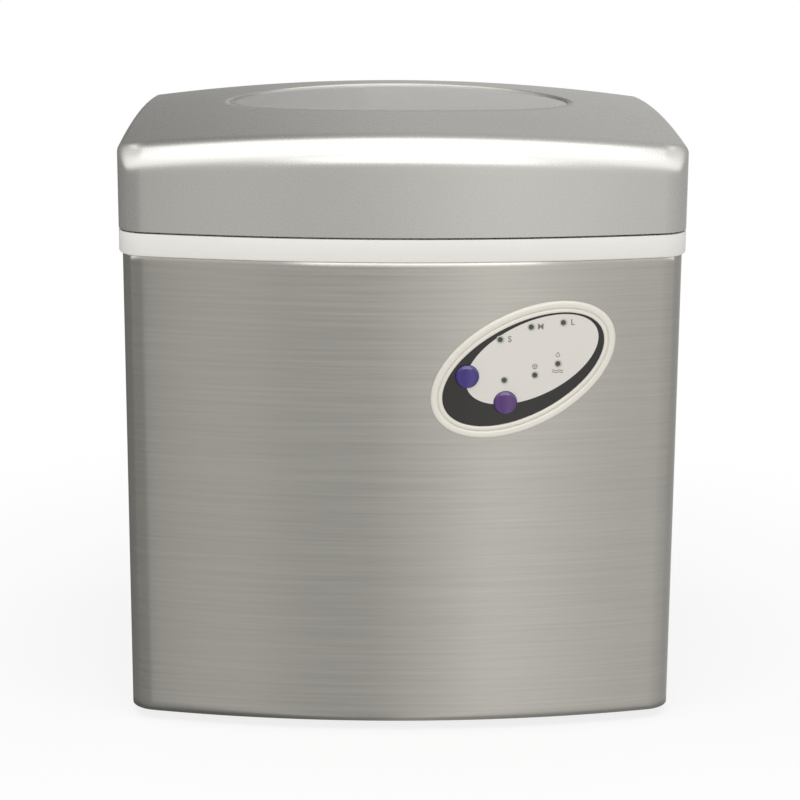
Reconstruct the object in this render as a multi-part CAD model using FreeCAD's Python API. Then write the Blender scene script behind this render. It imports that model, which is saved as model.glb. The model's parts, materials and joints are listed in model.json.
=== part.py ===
import FreeCAD, Part
import math
import os

# Countertop ice maker. Millimetres, +Z up, the front faces -Y, +X is the viewer's right.
# The origin is the middle of the bounding box's bottom face, on the worktop under the feet.

# --- Driving dimensions -------------------------------------------------------------------
WIDTH = 404.0             # over the lid and the white band
DEPTH = 346.0             # bowed front of the lid to its straight rear edge
HEIGHT = 442.0            # worktop to the crown of the lid
BOW_RADIUS = 769.0        # plan radius of the bowed front
CORNER_RADIUS = 24.5      # plan radius of the two front corners
FOOT_HEIGHT = 7.0
BODY_INSET = 2.5          # the steel wrap stands back from the band by this much
BAND_BOTTOM = 347.5
BAND_HEIGHT = 16.3
LID_GAP = 0.8             # shadow line between the band and the closed lid
CROWN_ACROSS = 1529.0     # crown radius of the lid, left to right
CROWN_ALONG = 2300.0      # crown radius of the lid, front to back
CROWN_Y = 10.0            # where the crown is highest
LID_EDGE_ROUND = 12.0     # rounding of the lid's top edge
STEEL = 0.8               # sheet of the wrap
PANEL = 2.0               # thickness of the rear panel
PLASTIC = 2.5             # wall of the moulded covers
FIT = 0.2                 # gap between nested pieces of one assembly
RUN = 0.05                # radial gap of a pin in its bearing
LIFT_GAP = 0.3            # gap between a moving piece at rest and its stop

# Window in the lid
WINDOW_HALF_X = 131.0
WINDOW_HALF_Y = 92.5
WINDOW_Y = 25.0
WINDOW_RECESS = 1.2
WINDOW_THICK = 3.0
WINDOW_FLANGE = 6.0

# Lid hinge
HINGE_Y = 166.0
HINGE_Z = 369.0
HINGE_EAR_RADIUS = 4.5
HINGE_PIN_RADIUS = 2.0
HINGE_X = 158.0           # middle of each hinge
HINGE_KNUCKLE = 11.4      # length of the lid's knuckle
HINGE_EAR = 6.0           # length of each ear beside it

# Deck and water tank
DECK_BOTTOM = 351.5
DECK_THICK = 3.0
TANK_HALF_X = 157.5       # inside of the tank
TANK_FRONT = -137.5
TANK_BACK = 97.5
TANK_FLOOR = 152.5
TANK_CORNER = 12.0
TANK_FLANGE = 9.0
INSULATION = 8.0
INSULATION_TOP = 340.0

# Ice basket
BASKET_HALF_X = 150.0
BASKET_FRONT = -133.0
BASKET_BACK = 4.0
BASKET_BOTTOM = 215.0
BASKET_TOP = 298.0
BASKET_WALL = 2.0
BASKET_RIM = 5.0
BASKET_SLOT = 6.0
BASKET_PITCH = 14.0

# Freezing mechanism: everything turns about one axis along X
AXIS_Y = 50.0
AXIS_Z = 312.0
TRAY_INNER = 31.0
TRAY_WALL = 2.5
TRAY_HALF_X = 82.0
SHAFT_RADIUS = 5.0
SHOVEL_INNER = 35.0
SHOVEL_WALL = 2.5
CHUTE_INNER = 39.5
CHUTE_WALL = 2.0
SIDE_PLATE_X = 90.0       # inner face of each side plate
SIDE_PLATE = 4.0
FINGER_RADIUS = 4.5
FINGER_DROP = 26.0        # finger tips below the axis
FINGER_ROW = 11.0
FINGER_PITCH = 22.0
FINGERS_PER_ROW = 6
EVAP_RADIUS = 3.5
EVAP_RISE = 4.0           # evaporator tube above the axis
EVAP_OUT_X = (64.0, 75.0)
EVAP_DOWN_Y = 116.0
EVAP_END_Z = 260.0
HANGER_Z = 338.5
RUN_OVER_Z = 347.0        # height at which tubes cross the tank's rear wall
NOTCH_INNER_X = 58.0
NOTCH_OUTER_X = 84.0
NOTCH_BOTTOM = 341.0

# Control panel, measured on the front face
PANEL_X = 85.0
PANEL_Z = 270.0
PANEL_TILT = 27.0
BEZEL_LONG = 70.7
BEZEL_SHORT = 41.4
BEZEL_WIDTH = 8.6
BEZEL_PROUD = 2.2
BEZEL_GROOVE = 5.0        # from the rim's outer edge to the groove in it
FACE_LONG = 50.4
FACE_SHORT = 26.6
FACE_TILT = 24.8
FACE_X = 91.1
FACE_Z = 277.4
BUTTON_RADIUS = 8.2
BUTTON_PROUD = 3.6
BUTTON_TRAVEL = 1.5
BUTTONS = {"power": (45.0, 265.9), "select": (72.3, 246.5)}
LEDS = [(68.0, 292.3), (89.8, 300.9), (112.6, 303.5), (93.0, 266.1), (109.3, 273.9), (71.3, 262.9)]
LED_RADIUS = 1.7
BOARD_Y = -154.0          # front of the display board
SWITCH_HEIGHT = 4.5

# Machine compartment
COMPRESSOR_X = -110.0
COMPRESSOR_Y = 85.0
COMPRESSOR_RADIUS = 48.0
COMPRESSOR_TOP = 128.0
FAN_X = 97.0
FAN_Z = 73.0
FAN_Y = 102.0
FAN_RADIUS = 44.0
CONDENSER_LEFT = 20.0
CONDENSER_RIGHT = 174.0
CONDENSER_Y = 142.0
CONDENSER_DEPTH = 26.0
CONDENSER_BOTTOM = 18.0
CONDENSER_TOP = 130.0
PUMP_X = -20.0
PUMP_Y = 0.0
PUMP_RADIUS = 20.0
DRAIN_X = -42.0
DRAIN_Z = 125.0
DRAIN_Y = 60.0
DRAIN_RADIUS = 6.0
DRAIN_BORE = 4.0
DRAIN_CAP_DEPTH = 3.0     # the pipe ends this far inside the rear face
INLET_RADIUS = 5.0
INLET_BORE = 3.5
SENSOR_Y = -40.0
SENSOR_Z = 322.0
SENSOR_RADIUS = 5.0
SOCKET_X = -140.0
SOCKET_Z = 60.0
SOCKET_HALF = 14.0
SOCKET_HALF_Z = 10.5
FOOT_SCREW = 2.0
FOOT_X = 165.0
FOOT_FRONT = -100.0
FOOT_BACK = 142.0
GROMMET_BOLT = 2.5
GROMMET_HEIGHT = 12.0
SUCTION_Y = 116.0
SUCTION_PORT_Z = 132.0
SUCTION_RUN_Z = 180.0
DISCHARGE_X = -52.0       # end of the compressor's discharge stub
DISCHARGE_Z = 58.0
CONDENSER_TUBE = 2.5
TEE_X = 4.0
TEE_Y = 126.0
MOTOR_RADIUS = 17.0
MOTOR_LENGTH = 24.0
FAN_SHAFT = 2.5
DRIER_X = -4.0
DRIER_Z = 146.0
CAPILLARY_Z = 226.0
HOT_GAS_Z = 240.0
VALVE_Y = 140.0
VALVE_Z = 290.0
PUMP_BOTTOM = 94.0
PUMP_MOTOR = 24.0         # height of the pump's motor below its chamber
PUMP_OUT_Z = 125.0
HOSE_Y = 132.0
SPOUT_Y = 9.0             # spout behind the tray's axis
HOSE_RADIUS = 4.0
HOSE_BORE = 2.8
BOARD_X0 = -150.0
BOARD_X1 = -50.0
BOARD_Y0 = -130.0
BOARD_Y1 = -60.0
STANDOFF_TOP = 22.0

# --- Sizes that follow --------------------------------------------------------------------
BACK = DEPTH / 2
BOW_Y = -DEPTH / 2 + BOW_RADIUS
BAND_TOP = BAND_BOTTOM + BAND_HEIGHT
LID_BOTTOM = BAND_TOP + LID_GAP
DECK_TOP = DECK_BOTTOM + DECK_THICK
BODY_BOTTOM = FOOT_HEIGHT
PAN_INSET = BODY_INSET + STEEL + FIT
PAN_THICK = 3.0
PAN_TOP = BODY_BOTTOM + PAN_THICK
REAR_FACE = BACK - BODY_INSET
REAR_INNER = REAR_FACE - PANEL
TANK_WALL = PLASTIC
TRAY_OUTER = TRAY_INNER + TRAY_WALL
SHOVEL_OUTER = SHOVEL_INNER + SHOVEL_WALL
CHUTE_OUTER = CHUTE_INNER + CHUTE_WALL
LINER_BOTTOM = LID_BOTTOM + 1.4
LINER_THICK = 2.0
REAR_LIP = PANEL + BODY_INSET + FIT
BOARD_BACK = TANK_FRONT - TANK_WALL - INSULATION
LID_SWEEP_Y = HINGE_Y - 8.0
LID_SWEEP_Z = HINGE_Z - 9.0

X_AXIS = FreeCAD.Vector(1, 0, 0)
Y_AXIS = FreeCAD.Vector(0, 1, 0)
Z_AXIS = FreeCAD.Vector(0, 0, 1)


# --- Helpers ------------------------------------------------------------------------------
def vec(x, y, z):
    return FreeCAD.Vector(x, y, z)


def save(name, pieces):
    """Write one node: a single solid or a group of separate solids."""
    solids = []
    for piece in pieces:
        solids += piece.Solids
    for solid in solids:
        if not solid.isValid() or not solid.isClosed() or solid.Volume <= 0:
            raise ValueError(name + " has a broken solid")
    shape = solids[0] if len(solids) == 1 else Part.Compound(solids)
    shape.exportStep("parts/" + name + ".step")
    print(name, len(solids), round(sum(s.Volume for s in solids) / 1000, 1), "cm3")


def one(shape):
    """The single solid of a boolean's result, merged where faces line up."""
    merged = shape.removeSplitter()
    if len(merged.Solids) != 1:
        raise ValueError("expected one solid, got " + str(len(merged.Solids)))
    return merged.Solids[0]


def box(x0, x1, y0, y1, z0, z1):
    return Part.makeBox(x1 - x0, y1 - y0, z1 - z0, vec(x0, y0, z0))


def cyl(radius, start, axis, length):
    return Part.makeCylinder(radius, length, start, axis)


def cone(r0, r1, start, axis, length):
    return Part.makeCone(r0, r1, length, start, axis)


def rounded_box(x0, x1, y0, y1, z0, z1, radius):
    """Box with its four vertical edges rounded."""
    block = box(x0, x1, y0, y1, z0, z1)
    upright = [e for e in block.Edges if abs(e.Vertexes[0].Z - e.Vertexes[1].Z) > 1e-6]
    return block.makeFillet(radius, upright)


def plan_face(inset, back_inset):
    """The body's outline seen from above: bowed front, rounded front corners, straight back."""
    bow = BOW_RADIUS - inset
    corner = max(CORNER_RADIUS - inset, 1.0)
    half = WIDTH / 2 - inset
    back = BACK - back_inset
    corner_x = half - corner
    reach = math.sqrt((bow - corner) ** 2 - corner_x ** 2)
    corner_y = BOW_Y - reach
    scale = bow / (bow - corner)
    meet_x = corner_x * scale
    meet_y = BOW_Y - reach * scale
    turn = math.atan2(-reach, corner_x) / 2
    mid_x = corner_x + corner * math.cos(turn)
    mid_y = corner_y + corner * math.sin(turn)
    edges = [
        Part.LineSegment(vec(-half, back, 0), vec(half, back, 0)).toShape(),
        Part.LineSegment(vec(half, back, 0), vec(half, corner_y, 0)).toShape(),
        Part.Arc(vec(half, corner_y, 0), vec(mid_x, mid_y, 0), vec(meet_x, meet_y, 0)).toShape(),
        Part.Arc(vec(meet_x, meet_y, 0), vec(0, BOW_Y - bow, 0), vec(-meet_x, meet_y, 0)).toShape(),
        Part.Arc(vec(-meet_x, meet_y, 0), vec(-mid_x, mid_y, 0), vec(-half, corner_y, 0)).toShape(),
        Part.LineSegment(vec(-half, corner_y, 0), vec(-half, back, 0)).toShape(),
    ]
    return Part.Face(Part.Wire(edges))


def plan_prism(inset, back_inset, z0, z1):
    face = plan_face(inset, back_inset)
    face.translate(vec(0, 0, z0))
    return face.extrude(vec(0, 0, z1 - z0))


def front_y(x, inset):
    """Y of the bowed front at x, on the surface this far inside the outline."""
    return BOW_Y - math.sqrt((BOW_RADIUS - inset) ** 2 - x ** 2)


def ellipse_face(centre, half_long, half_short, tilt, normal):
    """Ellipse face. For normal Z its long axis is X; for normal Y it lies in the XZ plane."""
    if half_long < half_short:
        half_long, half_short = half_short, half_long
        tilt += 90
    edge = Part.Ellipse(vec(0, 0, 0), half_long, half_short).toShape()
    edge.rotate(vec(0, 0, 0), Z_AXIS, tilt)
    if normal == Y_AXIS:
        edge.rotate(vec(0, 0, 0), X_AXIS, 90)
    edge.translate(centre)
    return Part.Face(Part.Wire([edge]))


def fillet_path(points, bend):
    """Wire of straight runs joined by tangent arcs."""
    pts = [vec(*p) for p in points]
    edges = []
    here = pts[0]
    for before, corner, after in zip(pts, pts[1:], pts[2:]):
        back = before.sub(corner)
        ahead = after.sub(corner)
        run = min(back.Length, ahead.Length)
        back.normalize()
        ahead.normalize()
        turn = math.pi - back.getAngle(ahead)
        radius = min(bend, 0.45 * run / math.tan(turn / 2))
        cut = radius * math.tan(turn / 2)
        arc_from = corner.add(back.multiply(cut))
        arc_to = corner.add(ahead.multiply(cut))
        middle = arc_from.add(arc_to).multiply(0.5).sub(corner)
        away = radius / math.cos(turn / 2)
        middle.normalize()
        arc_mid = corner.add(middle.multiply(away - radius))
        edges.append(Part.LineSegment(here, arc_from).toShape())
        edges.append(Part.Arc(arc_from, arc_mid, arc_to).toShape())
        here = arc_to
    edges.append(Part.LineSegment(here, pts[-1]).toShape())
    return Part.Wire(edges)


def pipe(points, radius, bend):
    """Round bar along a path of straight runs and arcs."""
    path = fillet_path(points, bend)
    start = vec(*points[0])
    direction = vec(*points[1]).sub(start)
    ring = Part.Wire([Part.Circle(start, direction, radius).toShape()])
    return path.makePipeShell([ring], True, False)


def hose(points, radius, bore, bend):
    return pipe(points, radius, bend).cut(pipe(points, bore, bend))


def sector(inner, outer, x0, x1, from_deg, to_deg):
    """Shell about the mechanism's axis. Angles run from the front (-Y) downwards."""
    def point(radius, degrees):
        a = math.radians(degrees)
        return vec(x0, AXIS_Y - radius * math.cos(a), AXIS_Z - radius * math.sin(a))
    mid = (from_deg + to_deg) / 2
    edges = [
        Part.Arc(point(outer, from_deg), point(outer, mid), point(outer, to_deg)).toShape(),
        Part.LineSegment(point(outer, to_deg), point(inner, to_deg)).toShape(),
        Part.Arc(point(inner, to_deg), point(inner, mid), point(inner, from_deg)).toShape(),
        Part.LineSegment(point(inner, from_deg), point(outer, from_deg)).toShape(),
    ]
    return Part.Face(Part.Wire(edges)).extrude(vec(x1 - x0, 0, 0))


def axis_cyl(radius, x0, x1):
    """Cylinder on the mechanism's axis."""
    return cyl(radius, vec(x0, AXIS_Y, AXIS_Z), X_AXIS, x1 - x0)


# --- Casing -------------------------------------------------------------------------------
def make_wrap():
    """Steel sheet round the front and both sides, open at the back, with the panel's opening."""
    top = DECK_BOTTOM - FIT
    outer = plan_prism(BODY_INSET, PANEL + BODY_INSET, BODY_BOTTOM, top)
    inner = plan_prism(BODY_INSET + STEEL, -1, BODY_BOTTOM - 1, top + 1)
    window = ellipse_face(vec(PANEL_X, -BACK - 20, PANEL_Z), BEZEL_LONG - BEZEL_WIDTH + 1,
                          BEZEL_SHORT - BEZEL_WIDTH + 1, PANEL_TILT, Y_AXIS)
    return one(outer.cut(inner).cut(window.extrude(vec(0, 80, 0))))


def rear_screw_places():
    side = WIDTH / 2 - BODY_INSET - STEEL - 9
    places = []
    for z in (22.0, 125.0, 235.0, 338.0):
        places += [(-side, z), (side, z)]
    return places


def make_rear_panel():
    """Rear cover with louvres for the condenser, the socket's opening and the drain's recess."""
    half = WIDTH / 2 - BODY_INSET - STEEL - FIT
    plate = box(-half, half, REAR_INNER, REAR_FACE, PAN_TOP + 6, DECK_BOTTOM - FIT)
    cuts = []
    for row in range(9):
        z = CONDENSER_BOTTOM + 8 + row * 11.0
        for left in (CONDENSER_LEFT + 4, CONDENSER_LEFT + 80):
            cuts.append(box(left, left + 68, REAR_INNER - 1, REAR_FACE + 1, z, z + 5))
    for row in range(5):
        z = 270 + row * 9.0
        cuts.append(box(-60, 60, REAR_INNER - 1, REAR_FACE + 1, z, z + 4))
    cuts.append(box(SOCKET_X - SOCKET_HALF, SOCKET_X + SOCKET_HALF, REAR_INNER - 1, REAR_FACE + 1,
                    SOCKET_Z - SOCKET_HALF_Z, SOCKET_Z + SOCKET_HALF_Z))
    cuts.append(cyl(DRAIN_RADIUS + FIT, vec(DRAIN_X, REAR_INNER - 1, DRAIN_Z), Y_AXIS, 5))
    for x, z in rear_screw_places():
        cuts.append(cyl(1.6, vec(x, REAR_INNER - 1, z), Y_AXIS, 5))
    return one(plate.cut(cuts))


def make_rear_screws():
    screws = []
    for x, z in rear_screw_places():
        head = cyl(3.4, vec(x, REAR_FACE, z), Y_AXIS, 1.6)
        shank = cyl(1.5, vec(x, REAR_FACE - 9, z), Y_AXIS, 9)
        cross = box(x - 0.4, x + 0.4, REAR_FACE + 0.8, REAR_FACE + 2, z - 2, z + 2)
        other = box(x - 2, x + 2, REAR_FACE + 0.8, REAR_FACE + 2, z - 0.4, z + 0.4)
        screws.append(one(head.fuse(shank).cut([cross, other])))
    return screws


def make_base_pan():
    """Pressed floor pan with an upstand inside the wrap and vent slots."""
    rear = PANEL + BODY_INSET + FIT
    outer = plan_prism(PAN_INSET, rear, BODY_BOTTOM, PAN_TOP + 12)
    inner = plan_prism(PAN_INSET + 2, rear + 2, PAN_TOP, PAN_TOP + 13)
    cuts = [inner]
    for column in range(8):
        x = -60 + column * 12.0
        cuts.append(box(x, x + 5, -60, 20, BODY_BOTTOM - 1, PAN_TOP + 1))
    for x, y in foot_places():
        cuts.append(cyl(FOOT_SCREW + RUN, vec(x, y, BODY_BOTTOM - 1), Z_AXIS, 6))
    for x, y in compressor_bolt_places():
        cuts.append(cyl(GROMMET_BOLT + RUN, vec(x, y, BODY_BOTTOM - 1), Z_AXIS, 6))
    pan = outer.cut(cuts)
    for x, z in rear_screw_places():
        boss = box(x - 5, x + 5, REAR_INNER - 12, REAR_INNER - FIT, PAN_TOP, 30)
        hole = cyl(1.6, vec(x, REAR_INNER - 13, z), Y_AXIS, 14)
        if z < 30:
            pan = pan.fuse(boss).cut(hole)
    return one(pan)


def foot_places():
    return [(x, y) for x in (-FOOT_X, FOOT_X) for y in (FOOT_FRONT, FOOT_BACK)]


def make_feet():
    feet = []
    for x, y in foot_places():
        foot = cone(11.0, 13.0, vec(x, y, 0), Z_AXIS, BODY_BOTTOM)
        well = cyl(5.0, vec(x, y, -1), Z_AXIS, 4.0)
        hole = cyl(FOOT_SCREW + RUN, vec(x, y, 0), Z_AXIS, BODY_BOTTOM + 1)
        feet.append(one(foot.cut([well, hole])))
    return feet


def make_foot_screws():
    screws = []
    for x, y in foot_places():
        head = cyl(4.2, vec(x, y, 1.2), Z_AXIS, 1.8)
        shank = cyl(FOOT_SCREW, vec(x, y, 3.0), Z_AXIS, PAN_TOP + 4 - 3.0)
        screws.append(one(head.fuse(shank)))
    return screws


def make_top_frame():
    """White band with its deck, the tank's mouth, the hinge ears and the lid's rear clearance."""
    band_wall = BODY_INSET - FIT
    band = plan_prism(0, 0, BAND_BOTTOM, BAND_TOP)
    band = band.cut(plan_prism(band_wall, band_wall, BAND_BOTTOM - 1, BAND_TOP + 1))
    low = [e for e in band.Edges if e.BoundBox.ZMax < BAND_BOTTOM + 0.01
           and plan_outside(e)]
    band = band.makeChamfer(1.4, low)
    deck = plan_prism(band_wall, band_wall, DECK_BOTTOM, DECK_TOP)
    lip = plan_prism(BODY_INSET + STEEL + FIT, REAR_LIP, BAND_BOTTOM - 8, DECK_BOTTOM)
    lip = lip.cut(plan_prism(BODY_INSET + STEEL + FIT + 1.6, REAR_LIP + 1.6, BAND_BOTTOM - 9,
                             DECK_BOTTOM + 1))
    frame = band.fuse([deck, lip])
    mouth = rounded_box(-TANK_HALF_X, TANK_HALF_X, TANK_FRONT, TANK_BACK, DECK_BOTTOM - 1,
                        DECK_TOP + 1, TANK_CORNER)
    rear = box(-WIDTH, WIDTH, LID_SWEEP_Y, BACK + 1, LID_SWEEP_Z, BAND_TOP + 1)
    frame = frame.cut([mouth, rear])
    ears = []
    for middle in (-HINGE_X, HINGE_X):
        for side in (-1, 1):
            near = middle + side * (HINGE_KNUCKLE / 2 + LIFT_GAP)
            far = near + side * HINGE_EAR
            x0, x1 = min(near, far), max(near, far)
            post = box(x0, x1, HINGE_Y - HINGE_EAR_RADIUS, HINGE_Y + HINGE_EAR_RADIUS, DECK_TOP,
                       HINGE_Z)
            eye = cyl(HINGE_EAR_RADIUS, vec(x0, HINGE_Y, HINGE_Z), X_AXIS, x1 - x0)
            ears.append(post.fuse(eye))
    frame = frame.fuse(ears)
    for middle in (-HINGE_X, HINGE_X):
        frame = frame.cut(hinge_bar(HINGE_PIN_RADIUS + RUN, middle, 2.0))
    return one(frame)


def plan_outside(edge):
    """True for an edge of the band that lies on the body's outline."""
    middle = edge.valueAt((edge.FirstParameter + edge.LastParameter) / 2)
    inside = Part.Face(plan_face(1.0, 1.0).OuterWire)
    flat = vec(middle.x, middle.y, 0)
    return not inside.isInside(flat, 0.01, True)


def hinge_bar(radius, middle, extra):
    half = HINGE_KNUCKLE / 2 + LIFT_GAP + HINGE_EAR + extra
    return cyl(radius, vec(middle - half, HINGE_Y, HINGE_Z), X_AXIS, 2 * half)


def make_hinge_pins():
    return [hinge_bar(HINGE_PIN_RADIUS, middle, 0.0) for middle in (-HINGE_X, HINGE_X)]


def bumper_places():
    return [(-120.0, -149.0), (120.0, -149.0), (-180.0, 60.0), (180.0, 60.0)]


def make_lid_bumpers():
    """Rubber pads on the deck that the closed lid's liner comes down on."""
    return [cyl(4.0, vec(x, y, DECK_TOP), Z_AXIS, LINER_BOTTOM - LIFT_GAP - DECK_TOP)
            for x, y in bumper_places()]


# --- Lid ----------------------------------------------------------------------------------
def crown(drop):
    """Solid under the lid's doubly curved top, lowered by a constant depth."""
    across = CROWN_ACROSS - drop
    along = CROWN_ALONG - drop
    top = HEIGHT - drop
    reach = WIDTH / 2 + 10
    low = LID_BOTTOM - 20
    edge_z = top - across + math.sqrt(across ** 2 - reach ** 2)
    edges = [
        Part.LineSegment(vec(-reach, CROWN_Y, low), vec(reach, CROWN_Y, low)).toShape(),
        Part.LineSegment(vec(reach, CROWN_Y, low), vec(reach, CROWN_Y, edge_z)).toShape(),
        Part.Arc(vec(reach, CROWN_Y, edge_z), vec(0, CROWN_Y, top),
                 vec(-reach, CROWN_Y, edge_z)).toShape(),
        Part.LineSegment(vec(-reach, CROWN_Y, edge_z), vec(-reach, CROWN_Y, low)).toShape(),
    ]
    profile = Part.Face(Part.Wire(edges))
    pivot = vec(0, CROWN_Y, top - along)
    half_turn = math.degrees((BACK + abs(CROWN_Y) + 20) / along)
    profile.rotate(pivot, X_AXIS, -half_turn)
    return profile.revolve(pivot, X_AXIS, 2 * half_turn)


def lid_block(inset, back_inset, drop, rounding):
    """Crowned block of the lid with its top edge rounded along the front and sides."""
    block = plan_prism(inset, back_inset, LID_BOTTOM, HEIGHT + 20).common(crown(drop))
    block = one(block)
    edges = []
    for e in block.Edges:
        b = e.BoundBox
        level = b.ZMax - b.ZMin < 12 and b.ZMin > LID_BOTTOM + 20
        rear = b.YMin > BACK - back_inset - 0.5
        if level and not rear:
            edges.append(e)
    return block.makeFillet(rounding, edges)


def window_prism(grow, z0, z1):
    face = ellipse_face(vec(0, WINDOW_Y, z0), WINDOW_HALF_X + grow, WINDOW_HALF_Y + grow, 0, Z_AXIS)
    return face.extrude(vec(0, 0, z1 - z0))


def make_lid_shell():
    outer = lid_block(0, 0, 0, LID_EDGE_ROUND)
    inner = lid_block(PLASTIC, 2.0, PLASTIC, LID_EDGE_ROUND - PLASTIC)
    inner = inner.fuse(plan_prism(PLASTIC, 2.0, LID_BOTTOM - 1, LID_BOTTOM + 1))
    shell = outer.cut(inner)
    cuts = [window_prism(0, LID_BOTTOM + 20, HEIGHT + 5)]
    for middle in (-HINGE_X, HINGE_X):
        half = HINGE_KNUCKLE / 2 + HINGE_EAR + 1.5
        cuts.append(box(middle - half, middle + half, HINGE_Y, BACK + 1, LID_BOTTOM - 1,
                        HINGE_Z + 7.5))
    return one(shell.cut(cuts))


def make_lid_window():
    """Clear lens: the opening's filling plus a flange glued under the shell."""
    lens = window_prism(-FIT, LID_BOTTOM + 20, HEIGHT + 5).common(crown(WINDOW_RECESS))
    flange = window_prism(WINDOW_FLANGE, LID_BOTTOM + 20, HEIGHT + 5).common(crown(PLASTIC + FIT))
    body = lens.fuse(flange).cut(crown(WINDOW_RECESS + WINDOW_THICK))
    return one(body)


def make_window_trim():
    """Thin bright ring in the step round the lens."""
    ring = window_prism(-FIT, LID_BOTTOM + 20, HEIGHT + 5).cut(
        window_prism(-FIT - 2.2, LID_BOTTOM + 19, HEIGHT + 6))
    return one(ring.common(crown(0.2)).cut(crown(WINDOW_RECESS)))


def make_lid_liner():
    """Inner skin of the lid with the sight tunnel to the window and the hinge knuckles."""
    gap = PLASTIC + FIT
    plate = plan_prism(gap, 2.0 + FIT, LINER_BOTTOM, LINER_BOTTOM + LINER_THICK)
    tunnel = window_prism(WINDOW_FLANGE, LINER_BOTTOM, HEIGHT).common(
        crown(WINDOW_RECESS + WINDOW_THICK))
    hole = window_prism(WINDOW_FLANGE - 2, LINER_BOTTOM - 1, HEIGHT + 1)
    liner = plate.fuse(tunnel).cut(hole)
    for middle in (-HINGE_X, HINGE_X):
        half = HINGE_KNUCKLE / 2 + HINGE_EAR + 1.0
        notch = box(middle - half, middle + half, HINGE_Y - HINGE_EAR_RADIUS - 4, BACK,
                    LINER_BOTTOM - 1, LINER_BOTTOM + LINER_THICK + 1)
        x0 = middle - HINGE_KNUCKLE / 2
        knuckle = cyl(HINGE_EAR_RADIUS - 0.2, vec(x0, HINGE_Y, HINGE_Z), X_AXIS, HINGE_KNUCKLE)
        web = box(x0, x0 + HINGE_KNUCKLE, HINGE_Y - HINGE_EAR_RADIUS - 12, HINGE_Y,
                  LINER_BOTTOM, HINGE_Z + 1)
        bore = hinge_bar(HINGE_PIN_RADIUS + RUN, middle, 2.0)
        liner = liner.cut(notch).fuse([knuckle, web]).cut(bore)
    return one(liner)


# --- Tank, insulation and basket ----------------------------------------------------------
def tank_block(grow, floor, top):
    return rounded_box(-TANK_HALF_X - grow, TANK_HALF_X + grow, TANK_FRONT - grow, TANK_BACK + grow,
                       floor, top, TANK_CORNER + grow)


def notches(y0, y1, z0, z1):
    """Passages for the tubes and the hose through the rear wall, left and right."""
    return [box(NOTCH_INNER_X, NOTCH_OUTER_X, y0, y1, z0, z1),
            box(-NOTCH_OUTER_X, -NOTCH_INNER_X, y0, y1, z0, z1)]


def make_tank():
    """White tub hung from the deck, with ledges that carry the basket and a drain hole."""
    outer = tank_block(TANK_WALL, TANK_FLOOR - TANK_WALL, DECK_BOTTOM)
    flange = tank_block(TANK_FLANGE, DECK_BOTTOM - 2.5, DECK_BOTTOM)
    inner = tank_block(0, TANK_FLOOR, DECK_BOTTOM + 1)
    tub = outer.fuse(flange).cut(inner)
    ledge_top = BASKET_TOP - BASKET_WALL - FIT
    for side in (-1, 1):
        near = side * (BASKET_HALF_X + 1.0)
        far = side * (TANK_HALF_X + 1.0)
        tub = tub.fuse(box(min(near, far), max(near, far), BASKET_FRONT + 8, BASKET_BACK - 8,
                           ledge_top - 3.0, ledge_top))
    cuts = notches(TANK_BACK - 0.5, TANK_BACK + 20, NOTCH_BOTTOM, DECK_BOTTOM + 1)
    cuts.append(cyl(DRAIN_BORE, vec(DRAIN_X, DRAIN_Y, TANK_FLOOR - 10), Z_AXIS, 20))
    cuts.append(cyl(INLET_BORE, vec(PUMP_X, PUMP_Y, TANK_FLOOR - 10), Z_AXIS, 20))
    cuts += sensor_bars(SENSOR_RADIUS + FIT)
    return one(tub.cut(cuts))


def make_insulation():
    """Foam jacket round the tank."""
    gap = TANK_WALL + FIT
    outer = tank_block(TANK_WALL + INSULATION, TANK_FLOOR - TANK_WALL - INSULATION - 2,
                       INSULATION_TOP)
    inner = tank_block(gap, TANK_FLOOR - gap, INSULATION_TOP + 1)
    cuts = [inner]
    cuts.append(cyl(DRAIN_RADIUS + FIT, vec(DRAIN_X, DRAIN_Y, TANK_FLOOR - 20), Z_AXIS, 20))
    cuts.append(cyl(INLET_RADIUS + FIT, vec(PUMP_X, PUMP_Y, TANK_FLOOR - 20), Z_AXIS, 20))
    cuts += sensor_bars(SENSOR_RADIUS + FIT)
    return one(outer.cut(cuts))


def make_basket():
    """Perforated ice basket with a rim that sits on the tank's ledges."""
    outer = rounded_box(-BASKET_HALF_X, BASKET_HALF_X, BASKET_FRONT, BASKET_BACK, BASKET_BOTTOM,
                        BASKET_TOP, 10.0)
    rim = rounded_box(-BASKET_HALF_X - BASKET_RIM, BASKET_HALF_X + BASKET_RIM,
                      BASKET_FRONT - 2, BASKET_BACK + 2, BASKET_TOP - BASKET_WALL, BASKET_TOP, 11.0)
    inner = rounded_box(-BASKET_HALF_X + BASKET_WALL, BASKET_HALF_X - BASKET_WALL,
                        BASKET_FRONT + BASKET_WALL, BASKET_BACK - BASKET_WALL,
                        BASKET_BOTTOM + BASKET_WALL, BASKET_TOP + 1, 8.0)
    cuts = [inner]
    usable = BASKET_BACK - BASKET_FRONT - 30
    across = int((2 * BASKET_HALF_X - 30) // BASKET_PITCH)
    first = -(across - 1) * BASKET_PITCH / 2
    for column in range(across):
        x = first + column * BASKET_PITCH
        mid_y = (BASKET_FRONT + BASKET_BACK) / 2
        cuts.append(box(x - BASKET_SLOT / 2, x + BASKET_SLOT / 2, mid_y - usable / 2,
                        mid_y - 4, BASKET_BOTTOM - 1, BASKET_BOTTOM + BASKET_WALL + 1))
        cuts.append(box(x - BASKET_SLOT / 2, x + BASKET_SLOT / 2, mid_y + 4,
                        mid_y + usable / 2, BASKET_BOTTOM - 1, BASKET_BOTTOM + BASKET_WALL + 1))
        cuts.append(box(x - BASKET_SLOT / 2, x + BASKET_SLOT / 2, BASKET_FRONT - 1,
                        BASKET_BACK + 1, BASKET_BOTTOM + 12, BASKET_TOP - 22))
    return one(outer.fuse(rim).cut(cuts))


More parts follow.
